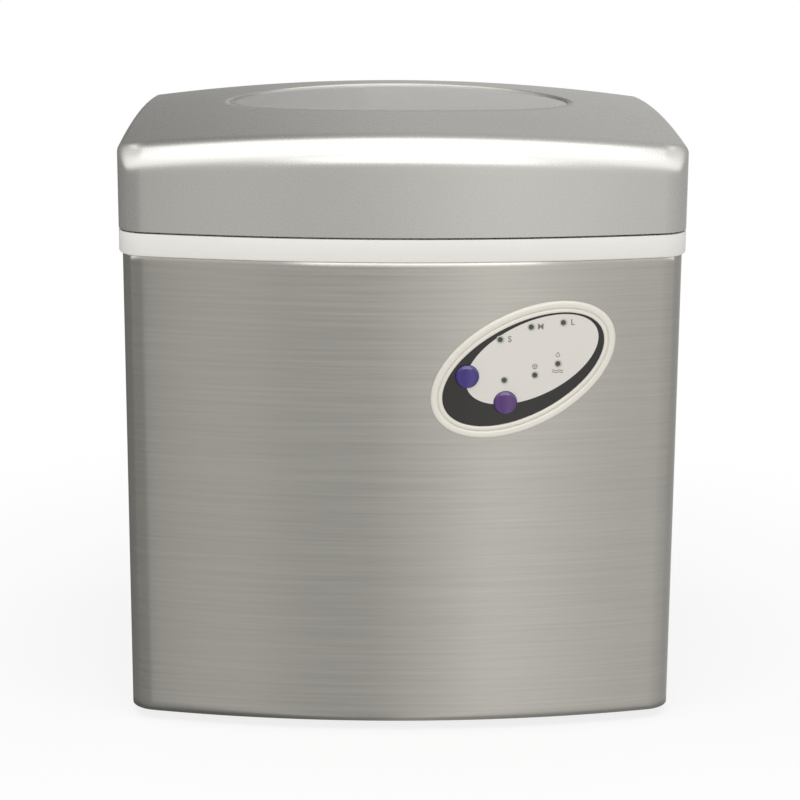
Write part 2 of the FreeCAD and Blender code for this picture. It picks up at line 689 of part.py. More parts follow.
def sensor_bars(radius):
    """Bars along X on both sides of the tank, above the basket's rim."""
    bars = []
    for side in (-1, 1):
        start = side * (TANK_HALF_X - 1.5)
        bars.append(cyl(radius, vec(start, SENSOR_Y, SENSOR_Z), X_AXIS * side, 10.5))
    return bars


def make_drain_pipe():
    """Rubber elbow from the tank's floor to the outlet in the rear panel."""
    path = [(DRAIN_X, DRAIN_Y, TANK_FLOOR - TANK_WALL), (DRAIN_X, DRAIN_Y, DRAIN_Z),
            (DRAIN_X, REAR_FACE - DRAIN_CAP_DEPTH, DRAIN_Z)]
    return [hose(path, DRAIN_RADIUS, DRAIN_BORE, 14.0)]


def make_drain_cap():
    """Pull-off cap: a plug in the end of the drain pipe with a grip flange outside."""
    end = REAR_FACE - DRAIN_CAP_DEPTH
    start = vec(DRAIN_X, end - 8, DRAIN_Z)
    plug = cyl(DRAIN_BORE - RUN, start, Y_AXIS, 8 + DRAIN_CAP_DEPTH)
    grip = cyl(DRAIN_RADIUS + 3, vec(DRAIN_X, REAR_FACE + LIFT_GAP, DRAIN_Z), Y_AXIS, 1.9)
    neck = cyl(DRAIN_BORE - RUN, vec(DRAIN_X, end, DRAIN_Z), Y_AXIS, DRAIN_CAP_DEPTH + 1)
    return [one(plug.fuse([neck, grip]))]


# --- Freezing mechanism -------------------------------------------------------------------
def evaporator_lines():
    """Centre lines: a hairpin over the fingers whose two ends cross the rear wall."""
    z = AXIS_Z + EVAP_RISE
    front = AXIS_Y - FINGER_ROW
    rear = AXIS_Y + FINGER_ROW
    bend_x = -62.0
    near, far = EVAP_OUT_X
    return [(near, EVAP_DOWN_Y, EVAP_END_Z), (near, EVAP_DOWN_Y, RUN_OVER_Z),
            (near, front, RUN_OVER_Z), (near, front, z), (bend_x - FINGER_ROW, front, z),
            (bend_x - FINGER_ROW, rear, z), (far, rear, z), (far, rear, RUN_OVER_Z),
            (far, EVAP_DOWN_Y, RUN_OVER_Z), (far, EVAP_DOWN_Y, EVAP_END_Z)]


def make_evaporator():
    return [pipe(evaporator_lines(), EVAP_RADIUS, 9.0)]


def make_fingers():
    """Twelve plated fingers that hang into the water tray, saddled on the evaporator tube."""
    z = AXIS_Z + EVAP_RISE
    fingers = []
    for row in (-FINGER_ROW, FINGER_ROW):
        bar = cyl(EVAP_RADIUS, vec(-80, AXIS_Y + row, z), X_AXIS, 160)
        for index in range(FINGERS_PER_ROW):
            x = (index - (FINGERS_PER_ROW - 1) / 2) * FINGER_PITCH
            tip = AXIS_Z - FINGER_DROP
            body = cone(FINGER_RADIUS - 0.8, FINGER_RADIUS, vec(x, AXIS_Y + row, tip), Z_AXIS,
                        z - 1 - tip)
            ends = [e for e in body.Edges if e.BoundBox.ZMax < tip + 0.01]
            fingers.append(one(body.makeFillet(2.0, ends).cut(bar)))
    return fingers


def make_hanger():
    """Bar between the side plates with two clips down to the evaporator."""
    reach = SIDE_PLATE_X + SIDE_PLATE
    bar = box(-reach, reach, AXIS_Y - 6, AXIS_Y + 4, HANGER_Z, HANGER_Z + 2.5)
    clips = []
    z = AXIS_Z + EVAP_RISE
    for x in (-44.0, 44.0):
        stem = box(x - 2, x + 2, AXIS_Y - 3, AXIS_Y + 3, z + 4, HANGER_Z)
        foot = box(x - 4, x + 4, AXIS_Y - FINGER_ROW - 1, AXIS_Y + FINGER_ROW + 1, z, z + 5)
        clips += [stem, foot]
    tubes = [cyl(EVAP_RADIUS + RUN, vec(-80, AXIS_Y + row, z), X_AXIS, 160)
             for row in (-FINGER_ROW, FINGER_ROW)]
    return [one(bar.fuse(clips).cut(tubes))]


def make_tray():
    """Half-round tilting tray, closed at the ends, turning on two stub shafts."""
    trough = sector(TRAY_INNER, TRAY_OUTER, -TRAY_HALF_X, TRAY_HALF_X, 0, 180)
    parts = []
    for side in (-1, 1):
        x0 = TRAY_HALF_X if side > 0 else -TRAY_HALF_X - TRAY_WALL
        disc = sector(0.5, TRAY_OUTER, x0, x0 + TRAY_WALL, 0, 180)
        reach = SIDE_PLATE_X + SIDE_PLATE + (8.0 if side > 0 else -0.5)
        start, end = TRAY_HALF_X, reach
        if side < 0:
            start, end = -reach, -TRAY_HALF_X
        parts += [disc, axis_cyl(SHAFT_RADIUS, start, end)]
    return [one(trough.fuse(parts))]


def make_shovel():
    """Blade outside the tray that sweeps the fallen ice into the basket."""
    inner_x = TRAY_HALF_X + TRAY_WALL + 1.0
    outer_x = inner_x + 2.5
    blade = sector(SHOVEL_INNER, SHOVEL_OUTER, -outer_x, outer_x, -25, 10)
    parts = []
    for x0, x1 in ((inner_x, outer_x), (-outer_x, -inner_x)):
        parts.append(sector(0.5, SHOVEL_OUTER, x0, x1, -25, 10))
        parts.append(axis_cyl(SHAFT_RADIUS + 2.5, x0, x1))
    bore = axis_cyl(SHAFT_RADIUS + RUN, -outer_x - 1, outer_x + 1)
    return [one(blade.fuse(parts).cut(bore))]


def make_chute():
    """Fixed guide under the tray that leads the ice to the basket's edge."""
    return [sector(CHUTE_INNER, CHUTE_OUTER, -SIDE_PLATE_X, SIDE_PLATE_X, 25, 100)]


def make_side_plates():
    """Bearing plates at both ends of the tray, fixed to the tank's rear wall."""
    plates = []
    for side in (-1, 1):
        x0 = SIDE_PLATE_X if side > 0 else -SIDE_PLATE_X - SIDE_PLATE
        low = AXIS_Z - CHUTE_OUTER - 1
        plate = box(x0, x0 + SIDE_PLATE, AXIS_Y - CHUTE_OUTER, TANK_BACK, low, AXIS_Z + 14)
        neck = box(x0, x0 + SIDE_PLATE, AXIS_Y - 12, AXIS_Y + 12, AXIS_Z, HANGER_Z)
        foot_x = x0 + SIDE_PLATE if side > 0 else x0 - 9
        foot = box(foot_x, foot_x + 9, TANK_BACK - 3, TANK_BACK, low, AXIS_Z + 14)
        hole = axis_cyl(SHAFT_RADIUS + RUN, x0 - 1, x0 + SIDE_PLATE + 1)
        plates.append(one(plate.fuse([neck, foot]).cut(hole)))
    return plates


def make_tray_motor():
    """Geared motor on the outside of the right side plate; its bore takes the tray's shaft."""
    x0 = SIDE_PLATE_X + SIDE_PLATE
    gearbox = rounded_box(x0, x0 + 16, AXIS_Y - 20, AXIS_Y + 20, AXIS_Z - 24, AXIS_Z + 20, 3.0)
    can = cyl(12.0, vec(x0 + 16, AXIS_Y, AXIS_Z - 8), X_AXIS, 18)
    bore = axis_cyl(SHAFT_RADIUS + RUN, x0 - 1, x0 + 9)
    return [one(gearbox.fuse(can).cut(bore))]


# --- Control panel ------------------------------------------------------------------------
def front_layer(inner, outer):
    """Shell in front of the steel: from this far to that far proud of its surface."""
    centre = vec(0, BOW_Y, 0)
    near = cyl(BOW_RADIUS - BODY_INSET + outer, centre, Z_AXIS, HEIGHT)
    far = cyl(BOW_RADIUS - BODY_INSET + inner, centre, Z_AXIS, HEIGHT)
    return near.cut(far)


def panel_prism(x, z, half_long, half_short, tilt):
    face = ellipse_face(vec(x, -BACK - 20, z), half_long, half_short, tilt, Y_AXIS)
    return face.extrude(vec(0, 50, 0))


def bezel_prism(inset):
    return panel_prism(PANEL_X, PANEL_Z, BEZEL_LONG - inset, BEZEL_SHORT - inset, PANEL_TILT)


def button_holes(radius):
    return [cyl(radius, vec(x, -BACK - 20, z), Y_AXIS, 60) for x, z in BUTTONS.values()]


def led_holes(radius):
    return [cyl(radius, vec(x, -BACK - 20, z), Y_AXIS, 60) for x, z in LEDS]


def make_bezel():
    """Raised double rim of the panel, clipped round the opening in the steel."""
    rim = bezel_prism(0)
    bore = bezel_prism(BEZEL_WIDTH)
    groove = bezel_prism(BEZEL_GROOVE).cut(bezel_prism(BEZEL_GROOVE + 0.8))
    ring = rim.common(front_layer(0, BEZEL_PROUD)).cut(bore)
    return [one(ring.cut(groove.common(front_layer(BEZEL_PROUD - 0.6, BEZEL_PROUD + 1))))]


def make_panel_plate():
    """Black plate that fills the bezel and backs the light-coloured face."""
    layer = bezel_prism(BEZEL_WIDTH + FIT).common(front_layer(-2.2, 0.8))
    return [one(layer.cut(button_holes(BUTTON_RADIUS + LIFT_GAP) + led_holes(LED_RADIUS + RUN)))]


def make_panel_face():
    face = panel_prism(FACE_X, FACE_Z, FACE_LONG, FACE_SHORT, FACE_TILT)
    layer = face.common(front_layer(0.8, 1.4))
    return [one(layer.cut(button_holes(BUTTON_RADIUS + LIFT_GAP) + led_holes(LED_RADIUS + RUN)))]


def make_led_lenses():
    lenses = []
    for x, z in LEDS:
        y = front_y(x, BODY_INSET)
        lens = cyl(LED_RADIUS, vec(x, y - 1.9, z), Y_AXIS, BOARD_Y - y + 1.9)
        lenses.append(lens)
    return lenses


def make_button(name):
    """Domed push button whose stem reaches the switch behind it."""
    x, z = BUTTONS[name]
    surface = front_y(x, BODY_INSET)
    tip = surface - BUTTON_PROUD
    body = cyl(BUTTON_RADIUS, vec(x, tip, z), Y_AXIS, BUTTON_PROUD + 3.2)
    rim = [e for e in body.Edges if e.BoundBox.YMax < tip + 0.01]
    body = body.makeFillet(2.6, rim)
    stem = cyl(2.0, vec(x, surface, z), Y_AXIS, switch_tip() - BUTTON_TRAVEL - LIFT_GAP - surface)
    return [one(body.fuse(stem))]


def switch_tip():
    return BOARD_Y - SWITCH_HEIGHT


def make_display_board():
    """Circuit board behind the panel with its two switches."""
    board = box(28.0, 140.0, BOARD_Y, BOARD_Y + 1.6, 234.0, 312.0)
    switches = []
    for x, z in BUTTONS.values():
        switches.append(box(x - 3, x + 3, switch_tip() + 1.0, BOARD_Y, z - 3, z + 3))
        switches.append(cyl(1.7, vec(x, switch_tip(), z), Y_AXIS, 2))
    screws = [cyl(3.0, vec(x, BOARD_Y + 1.6, z), Y_AXIS, BOARD_BACK - BOARD_Y - 1.6)
              for x in (34.0, 134.0) for z in (240.0, 306.0)]
    return [one(board.fuse(switches + screws))]


# --- Refrigeration ------------------------------------------------------------------------
def compressor_bolt_places():
    spread_x, spread_y = 42.0, 34.0
    return [(COMPRESSOR_X + sx * spread_x, COMPRESSOR_Y + sy * spread_y)
            for sx in (-1, 1) for sy in (-1, 1)]


def make_compressor():
    """Hermetic shell on a foot plate, with its suction and discharge stubs."""
    centre = vec(COMPRESSOR_X, COMPRESSOR_Y, PAN_TOP + GROMMET_HEIGHT + 3)
    shell = cyl(COMPRESSOR_RADIUS, centre, Z_AXIS, COMPRESSOR_TOP - centre.z)
    rims = [e for e in shell.Edges if e.Length > COMPRESSOR_RADIUS and e.BoundBox.ZMax
            - e.BoundBox.ZMin < 0.1]
    shell = shell.makeFillet(18.0, rims)
    seam = cyl(COMPRESSOR_RADIUS + 1.5, vec(COMPRESSOR_X, COMPRESSOR_Y, 74), Z_AXIS, 5)
    low = PAN_TOP + GROMMET_HEIGHT
    plate = rounded_box(COMPRESSOR_X - 52, COMPRESSOR_X + 52, COMPRESSOR_Y - 44,
                        COMPRESSOR_Y + 44, low, low + 3, 9.0)
    post = cyl(26.0, vec(COMPRESSOR_X, COMPRESSOR_Y, low), Z_AXIS, 24)
    suction = cyl(5.0, vec(COMPRESSOR_X, SUCTION_Y, 96), Z_AXIS, SUCTION_PORT_Z - 96)
    discharge = cyl(4.5, vec(COMPRESSOR_X + 30, COMPRESSOR_Y, DISCHARGE_Z), X_AXIS,
                    DISCHARGE_X - COMPRESSOR_X - 30)
    holes = [cyl(GROMMET_BOLT + 1.5 + RUN, vec(x, y, low - 1), Z_AXIS, 5)
             for x, y in compressor_bolt_places()]
    return [one(shell.fuse([seam, plate, post, suction, discharge]).cut(holes))]


def make_grommets():
    """Rubber mounts between the floor pan and the compressor's foot plate."""
    mounts = []
    for x, y in compressor_bolt_places():
        base = cyl(7.0, vec(x, y, PAN_TOP), Z_AXIS, GROMMET_HEIGHT)
        neck = cyl(GROMMET_BOLT + 1.5, vec(x, y, PAN_TOP), Z_AXIS, GROMMET_HEIGHT + 3.5)
        bore = cyl(GROMMET_BOLT + RUN, vec(x, y, PAN_TOP - 1), Z_AXIS, GROMMET_HEIGHT + 6)
        mounts.append(one(base.fuse(neck).cut(bore)))
    return mounts


def make_compressor_bolts():
    bolts = []
    top = PAN_TOP + GROMMET_HEIGHT + 3.5
    for x, y in compressor_bolt_places():
        shank = cyl(GROMMET_BOLT, vec(x, y, BODY_BOTTOM), Z_AXIS, top + 1 - BODY_BOTTOM)
        head = cyl(5.5, vec(x, y, top), Z_AXIS, 2.6)
        bolts.append(one(shank.fuse(head)))
    return bolts


def make_terminal_cover():
    """Cover over the compressor's terminals, on its front side."""
    y = COMPRESSOR_Y - COMPRESSOR_RADIUS
    cover = rounded_box(COMPRESSOR_X - 20, COMPRESSOR_X + 20, y - 12, y + 14, 36, 70, 4.0)
    shell = cyl(COMPRESSOR_RADIUS + FIT, vec(COMPRESSOR_X, COMPRESSOR_Y, 20), Z_AXIS, 90)
    return [one(cover.cut(shell))]


def condenser_rows():
    count = 6
    step = (CONDENSER_TOP - CONDENSER_BOTTOM - 20) / (count - 1)
    return [CONDENSER_BOTTOM + 10 + index * step for index in range(count)]


def make_condenser_tube():
    """Serpentine through the fins; both ends leave on the left."""
    points = []
    left = CONDENSER_LEFT - 8
    right = CONDENSER_RIGHT + 7
    for index, z in enumerate(condenser_rows()):
        ends = (left, right) if index % 2 == 0 else (right, left)
        points += [(x, CONDENSER_Y, z) for x in ends]
    points[0] = (CONDENSER_LEFT - 12, CONDENSER_Y, points[0][2])
    points[-1] = (CONDENSER_LEFT - 6, CONDENSER_Y, points[-1][2])
    return [pipe(points, CONDENSER_TUBE, 8.5)]


def make_condenser_fins():
    fins = []
    count = 23
    pitch = (CONDENSER_RIGHT - CONDENSER_LEFT - 1.0) / (count - 1)
    y0 = CONDENSER_Y - CONDENSER_DEPTH / 2
    for index in range(count):
        x = CONDENSER_LEFT + index * pitch
        ends = index in (0, count - 1)
        low = PAN_TOP if ends else CONDENSER_BOTTOM
        fin = box(x, x + (1.0 if ends else 0.6), y0, y0 + CONDENSER_DEPTH, low, CONDENSER_TOP)
        holes = [cyl(CONDENSER_TUBE + RUN, vec(x - 1, CONDENSER_Y, z), X_AXIS, 3)
                 for z in condenser_rows()]
        fins.append(one(fin.cut(holes)))
    return fins


def make_fan_shroud():
    """Plate in front of the condenser with the fan's round duct and the motor's arms."""
    back = CONDENSER_Y - CONDENSER_DEPTH / 2 - FIT
    front = back - 2.5
    plate = box(CONDENSER_LEFT, CONDENSER_RIGHT, front, back, PAN_TOP, CONDENSER_TOP)
    duct = cyl(FAN_RADIUS + 5, vec(FAN_X, FAN_Y - 12, FAN_Z), Y_AXIS, back - FAN_Y + 12)
    bore = cyl(FAN_RADIUS + 2.5, vec(FAN_X, FAN_Y - 20, FAN_Z), Y_AXIS, 60)
    arms = []
    for degrees in (45, 135, 225, 315):
        a = math.radians(degrees)
        far = FAN_RADIUS + 5
        arm = box(12, far, -3, 0, -2.5, 2.5)
        arm.rotate(vec(0, 0, 0), Y_AXIS, -degrees)
        arm.translate(vec(FAN_X, FAN_Y - 12, FAN_Z))
        arms.append(arm)
    collar = cyl(MOTOR_RADIUS + 3, vec(FAN_X, FAN_Y - 15, FAN_Z), Y_AXIS, 3)
    shroud = plate.fuse(duct).cut(bore).fuse(arms + [collar])
    hole = cyl(MOTOR_RADIUS - 5, vec(FAN_X, FAN_Y - 16, FAN_Z), Y_AXIS, 5)
    return [one(shroud.cut(hole))]


def make_fan_motor():
    start = vec(FAN_X, FAN_Y - 15 - MOTOR_LENGTH, FAN_Z)
    can = cyl(MOTOR_RADIUS, start, Y_AXIS, MOTOR_LENGTH)
    boss = cyl(MOTOR_RADIUS - 5.5, start, Y_AXIS, MOTOR_LENGTH + 3)
    bore = cyl(FAN_SHAFT + RUN, vec(FAN_X, FAN_Y - 24, FAN_Z), Y_AXIS, 12)
    rims = [e for e in can.Edges if abs(e.Length - 2 * math.pi * MOTOR_RADIUS) < 0.1]
    return [one(can.makeFillet(2.0, rims[:1]).fuse(boss).cut(bore))]


def make_fan_rotor():
    """Five pitched blades on a hub and shaft."""
    hub = cyl(13.0, vec(FAN_X, FAN_Y - 8, FAN_Z), Y_AXIS, 16)
    shaft = cyl(FAN_SHAFT, vec(FAN_X, FAN_Y - 20, FAN_Z), Y_AXIS, 14)
    blades = []
    disc = cyl(FAN_RADIUS, vec(FAN_X, FAN_Y - 20, FAN_Z), Y_AXIS, 40)
    for index in range(5):
        blade = box(10, FAN_RADIUS + 4, -0.8, 0.8, -17, 17)
        blade.rotate(vec(0, 0, 0), X_AXIS, 28)
        blade.rotate(vec(0, 0, 0), Y_AXIS, index * 72)
        blade.translate(vec(FAN_X, FAN_Y, FAN_Z))
        blades.append(blade.common(disc))
    return [one(hub.fuse(blades + [shaft]))]


def make_filter_drier():
    x, y = DRIER_X, CONDENSER_Y
    can = cyl(8.0, vec(x, y, DRIER_Z), Z_AXIS, 46)
    low = cone(CONDENSER_TUBE, 8.0, vec(x, y, DRIER_Z - 8), Z_AXIS, 8)
    high = cone(8.0, 2.5, vec(x, y, DRIER_Z + 46), Z_AXIS, 8)
    return [one(can.fuse([low, high]))]


def make_liquid_pipe():
    """From the condenser's lower end up to the drier."""
    z = condenser_rows()[0]
    path = [(CONDENSER_LEFT - 12, CONDENSER_Y, z), (DRIER_X, CONDENSER_Y, z),
            (DRIER_X, CONDENSER_Y, DRIER_Z - 8)]
    return [pipe(path, CONDENSER_TUBE, 7.0)]


def make_capillary():
    z = DRIER_Z + 54
    near = EVAP_OUT_X[0]
    path = [(DRIER_X, CONDENSER_Y, z), (DRIER_X, CONDENSER_Y, CAPILLARY_Z),
            (near, CONDENSER_Y, CAPILLARY_Z), (near, EVAP_DOWN_Y, CAPILLARY_Z),
            (near, EVAP_DOWN_Y, EVAP_END_Z)]
    return [pipe(path, 1.5, 8.0)]


def make_discharge_pipe():
    z = condenser_rows()[-1]
    path = [(DISCHARGE_X, COMPRESSOR_Y, DISCHARGE_Z), (TEE_X, COMPRESSOR_Y, DISCHARGE_Z),
            (TEE_X, COMPRESSOR_Y, z), (TEE_X, CONDENSER_Y, z),
            (CONDENSER_LEFT - 6, CONDENSER_Y, z)]
    return [pipe(path, CONDENSER_TUBE, 8.0)]


def make_suction_pipe():
    far = EVAP_OUT_X[1]
    path = [(far, EVAP_DOWN_Y, EVAP_END_Z), (far, EVAP_DOWN_Y, SUCTION_RUN_Z),
            (COMPRESSOR_X, EVAP_DOWN_Y, SUCTION_RUN_Z), (COMPRESSOR_X, EVAP_DOWN_Y, SUCTION_PORT_Z)]
    return [pipe(path, EVAP_RADIUS, 12.0)]


def make_hot_gas_valve():
    """Defrost valve: brass body with the coil beside it."""
    x = EVAP_OUT_X[0]
    body = box(x - 9, x + 9, VALVE_Y - 8, VALVE_Y + 8, VALVE_Z, VALVE_Z + 16)
    stem = cyl(5.0, vec(x, VALVE_Y, VALVE_Z + 16), Z_AXIS, 22)
    port = cyl(2.5, vec(x, EVAP_DOWN_Y + EVAP_RADIUS - 0.6, VALVE_Z + 8), Y_AXIS,
               VALVE_Y - 8 - EVAP_DOWN_Y - EVAP_RADIUS + 0.6)
    tube = cyl(EVAP_RADIUS, vec(x, EVAP_DOWN_Y, VALVE_Z), Z_AXIS, 20)
    return [one(body.fuse([stem, port]).cut(tube))]


def make_valve_coil():
    x = EVAP_OUT_X[0]
    coil = rounded_box(x - 14, x + 14, VALVE_Y - 13, VALVE_Y + 13, VALVE_Z + 17, VALVE_Z + 36, 4.0)
    return [one(coil.cut(cyl(5.0 + RUN, vec(x, VALVE_Y, VALVE_Z), Z_AXIS, 60)))]


def make_hot_gas_pipe():
    """From the discharge line up to the defrost valve."""
    z = condenser_rows()[-1]
    x = EVAP_OUT_X[0]
    path = [(TEE_X, TEE_Y, z + CONDENSER_TUBE - 0.6), (TEE_X, TEE_Y, HOT_GAS_Z),
            (TEE_X, VALVE_Y, HOT_GAS_Z), (x, VALVE_Y, HOT_GAS_Z), (x, VALVE_Y, VALVE_Z)]
    line = cyl(CONDENSER_TUBE, vec(TEE_X, TEE_Y - 15, z), Y_AXIS, 30)
    return [one(pipe(path, CONDENSER_TUBE, 7.0).cut(line))]


# --- Water circuit and electrics ----------------------------------------------------------
def make_pump():
    """Pump housing under the tank with its inlet spigot through the floor and a side outlet."""
    low = PUMP_BOTTOM
    top = TANK_FLOOR - TANK_WALL - INSULATION - 2 - 3
    housing = cyl(PUMP_RADIUS, vec(PUMP_X, PUMP_Y, low), Z_AXIS, top - low)
    chamber = cyl(PUMP_RADIUS - 2.5, vec(PUMP_X, PUMP_Y, low + PUMP_MOTOR), Z_AXIS,
                  top - low - PUMP_MOTOR - 2.5)
    inlet = cyl(INLET_RADIUS, vec(PUMP_X, PUMP_Y, top), Z_AXIS, TANK_FLOOR - TANK_WALL - top)
    inlet_bore = cyl(INLET_BORE, vec(PUMP_X, PUMP_Y, top - 4), Z_AXIS, 30)
    outlet = cyl(HOSE_BORE - RUN, vec(PUMP_X, PUMP_Y + PUMP_RADIUS - 3, PUMP_OUT_Z), Y_AXIS, 18)
    outlet_bore = cyl(HOSE_BORE - 1.3, vec(PUMP_X, PUMP_Y + PUMP_RADIUS - 6, PUMP_OUT_Z), Y_AXIS, 30)
    foot = box(PUMP_X - 24, PUMP_X + 24, PUMP_Y - 10, PUMP_Y + 10, low - 2, low)
    legs = [box(PUMP_X + side * 24 - 1.5, PUMP_X + side * 24 + 1.5, PUMP_Y - 10, PUMP_Y + 10,
                PAN_TOP, low) for side in (-1, 1)]
    pump = housing.fuse([inlet, outlet, foot] + legs)
    return [one(pump.cut([chamber, inlet_bore, outlet_bore]))]


def make_impeller():
    """Vaned wheel inside the pump's chamber, on a pin in the floor of the chamber."""
    low = PUMP_BOTTOM + PUMP_MOTOR + 0.4
    wheel = cyl(PUMP_RADIUS - 4.5, vec(PUMP_X, PUMP_Y, low), Z_AXIS, 1.5)
    hub = cyl(4.0, vec(PUMP_X, PUMP_Y, low), Z_AXIS, 9)
    vanes = []
    for index in range(6):
        vane = box(2, PUMP_RADIUS - 5.0, -0.6, 0.6, 0, 7)
        vane.rotate(vec(0, 0, 0), Z_AXIS, index * 60)
        vane.translate(vec(PUMP_X, PUMP_Y, low))
        vanes.append(vane)
    return [one(wheel.fuse([hub] + vanes))]


def make_water_hose():
    """Silicone hose from the pump up behind the tank and over into the tray."""
    end_x = -(NOTCH_INNER_X + NOTCH_OUTER_X) / 2
    path = [(PUMP_X, PUMP_Y + PUMP_RADIUS + 2, PUMP_OUT_Z), (PUMP_X, HOSE_Y, PUMP_OUT_Z),
            (PUMP_X, HOSE_Y, 250), (end_x, HOSE_Y, 250), (end_x, HOSE_Y, RUN_OVER_Z),
            (end_x, AXIS_Y + SPOUT_Y, RUN_OVER_Z),
            (end_x, AXIS_Y + SPOUT_Y, RUN_OVER_Z - 14)]
    return [hose(path, HOSE_RADIUS, HOSE_BORE, 13.0)]


def make_control_board():
    board = box(BOARD_X0, BOARD_X1, BOARD_Y0, BOARD_Y1, STANDOFF_TOP, STANDOFF_TOP + 1.6)
    top = STANDOFF_TOP + 1.6
    parts = [box(BOARD_X0 + 8, BOARD_X0 + 28, BOARD_Y0 + 8, BOARD_Y0 + 24, top, top + 16),
             box(BOARD_X0 + 34, BOARD_X0 + 54, BOARD_Y0 + 8, BOARD_Y0 + 24, top, top + 16),
             box(BOARD_X1 - 26, BOARD_X1 - 6, BOARD_Y0 + 12, BOARD_Y0 + 52, top, top + 9),
             cyl(6.0, vec(BOARD_X0 + 16, BOARD_Y1 - 14, top), Z_AXIS, 14)]
    holes = [cyl(1.6, vec(x, y, STANDOFF_TOP - 1), Z_AXIS, 4) for x, y in standoff_places()]
    return [one(board.fuse(parts).cut(holes))]


def standoff_places():
    return [(x, y) for x in (BOARD_X0 + 4, BOARD_X1 - 4) for y in (BOARD_Y0 + 4, BOARD_Y1 - 4)]


def make_standoffs():
    posts = []
    for x, y in standoff_places():
        post = cyl(3.0, vec(x, y, PAN_TOP), Z_AXIS, STANDOFF_TOP - PAN_TOP)
        tip = cyl(1.5, vec(x, y, PAN_TOP), Z_AXIS, STANDOFF_TOP + 3 - PAN_TOP)
        posts.append(one(post.fuse(tip)))
    return posts


def make_transformer():
    """Step-down transformer on the floor pan beside the board."""
    x, y = BOARD_X1 + 22, BOARD_Y0 + 30
    core = box(x - 14, x + 14, y - 22, y + 22, PAN_TOP, PAN_TOP + 36)
    coil = rounded_box(x - 20, x + 20, y - 14, y + 14, PAN_TOP + 6, PAN_TOP + 30, 4.0)
    return [one(core.fuse(coil))]


def make_power_inlet():
    """Mains socket in the rear panel; nothing is plugged into it."""
    body = box(SOCKET_X - SOCKET_HALF + FIT, SOCKET_X + SOCKET_HALF - FIT, REAR_INNER - 16,
               REAR_FACE, SOCKET_Z - SOCKET_HALF_Z + FIT, SOCKET_Z + SOCKET_HALF_Z - FIT)
    rim = rounded_flange()
    well = box(SOCKET_X - SOCKET_HALF + 3, SOCKET_X + SOCKET_HALF - 3, REAR_INNER - 13,
               REAR_FACE + 5, SOCKET_Z - SOCKET_HALF_Z + 3, SOCKET_Z + SOCKET_HALF_Z - 3)
    pins = [box(SOCKET_X + dx - 1.0, SOCKET_X + dx + 1.0, REAR_INNER - 14, REAR_INNER - 4,
                SOCKET_Z + dz - 2.0, SOCKET_Z + dz + 2.0)
            for dx, dz in ((-6, -2), (0, 2), (6, -2))]
    return [one(body.fuse(rim).cut(well).fuse(pins))]


def rounded_flange():
    plate = box(SOCKET_X - SOCKET_HALF - 3, SOCKET_X + SOCKET_HALF + 3, REAR_FACE, REAR_FACE + 1.6,
                SOCKET_Z - SOCKET_HALF_Z - 3, SOCKET_Z + SOCKET_HALF_Z + 3)
    along = [e for e in plate.Edges if abs(e.Vertexes[0].Y - e.Vertexes[1].Y) > 1e-6]
    return plate.makeFillet(2.5, along)


# --- Writing the nodes --------------------------------------------------------------------
NODES = {
    "wrap_shell": lambda: [make_wrap()],
    "rear_panel": lambda: [make_rear_panel()],
    "rear_screws": make_rear_screws,
    "base_pan": lambda: [make_base_pan()],
    "rubber_feet": make_feet,
    "foot_screws": make_foot_screws,
    "top_frame": lambda: [make_top_frame()],
    "hinge_pins": make_hinge_pins,
    "lid_bumpers": make_lid_bumpers,
    "lid_shell": lambda: [make_lid_shell()],
    "lid_window": lambda: [make_lid_window()],
    "window_trim": lambda: [make_window_trim()],
    "lid_liner": lambda: [make_lid_liner()],
    "inner_tank": lambda: [make_tank()],
    "tank_insulation": lambda: [make_insulation()],
    "ice_basket": lambda: [make_basket()],
    "ice_sensors": lambda: sensor_bars(SENSOR_RADIUS),
    "drain_pipe": make_drain_pipe,
    "drain_cap": make_drain_cap,
    "evaporator_tube": make_evaporator,
    "freezing_fingers": make_fingers,
    "evaporator_hanger": make_hanger,
    "water_tray": make_tray,
    "ice_shovel": make_shovel,
    "ice_chute": make_chute,
    "tray_side_plates": make_side_plates,
    "tray_motor": make_tray_motor,
    "control_bezel": make_bezel,
    "panel_plate": make_panel_plate,
    "panel_face": make_panel_face,
    "led_lenses": make_led_lenses,
    "power_button": lambda: make_button("power"),
    "select_button": lambda: make_button("select"),
    "display_board": make_display_board,
    "compressor": make_compressor,
    "compressor_grommets": make_grommets,
    "compressor_bolts": make_compressor_bolts,
    "terminal_cover": make_terminal_cover,
    "condenser_tube": make_condenser_tube,
    "condenser_fins": make_condenser_fins,
    "fan_shroud": make_fan_shroud,
    "fan_motor": make_fan_motor,
    "fan_rotor": make_fan_rotor,
    "filter_drier": make_filter_drier,
    "liquid_pipe": make_liquid_pipe,
    "capillary_tube": make_capillary,
    "discharge_pipe": make_discharge_pipe,
    "suction_pipe": make_suction_pipe,
    "hot_gas_valve": make_hot_gas_valve,
    "hot_gas_coil": make_valve_coil,
    "hot_gas_pipe": make_hot_gas_pipe,
    "water_pump": make_pump,
    "pump_impeller": make_impeller,
    "water_hose": make_water_hose,
    "control_board": make_control_board,
    "board_standoffs": make_standoffs,
    "transformer": make_transformer,
    "power_inlet": make_power_inlet,
}

os.makedirs("parts", exist_ok=True)
for node_name, maker in NODES.items():
    save(node_name, maker())
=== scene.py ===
import json
import math

import bmesh
import bpy
import numpy as np
from mathutils import Matrix, Vector


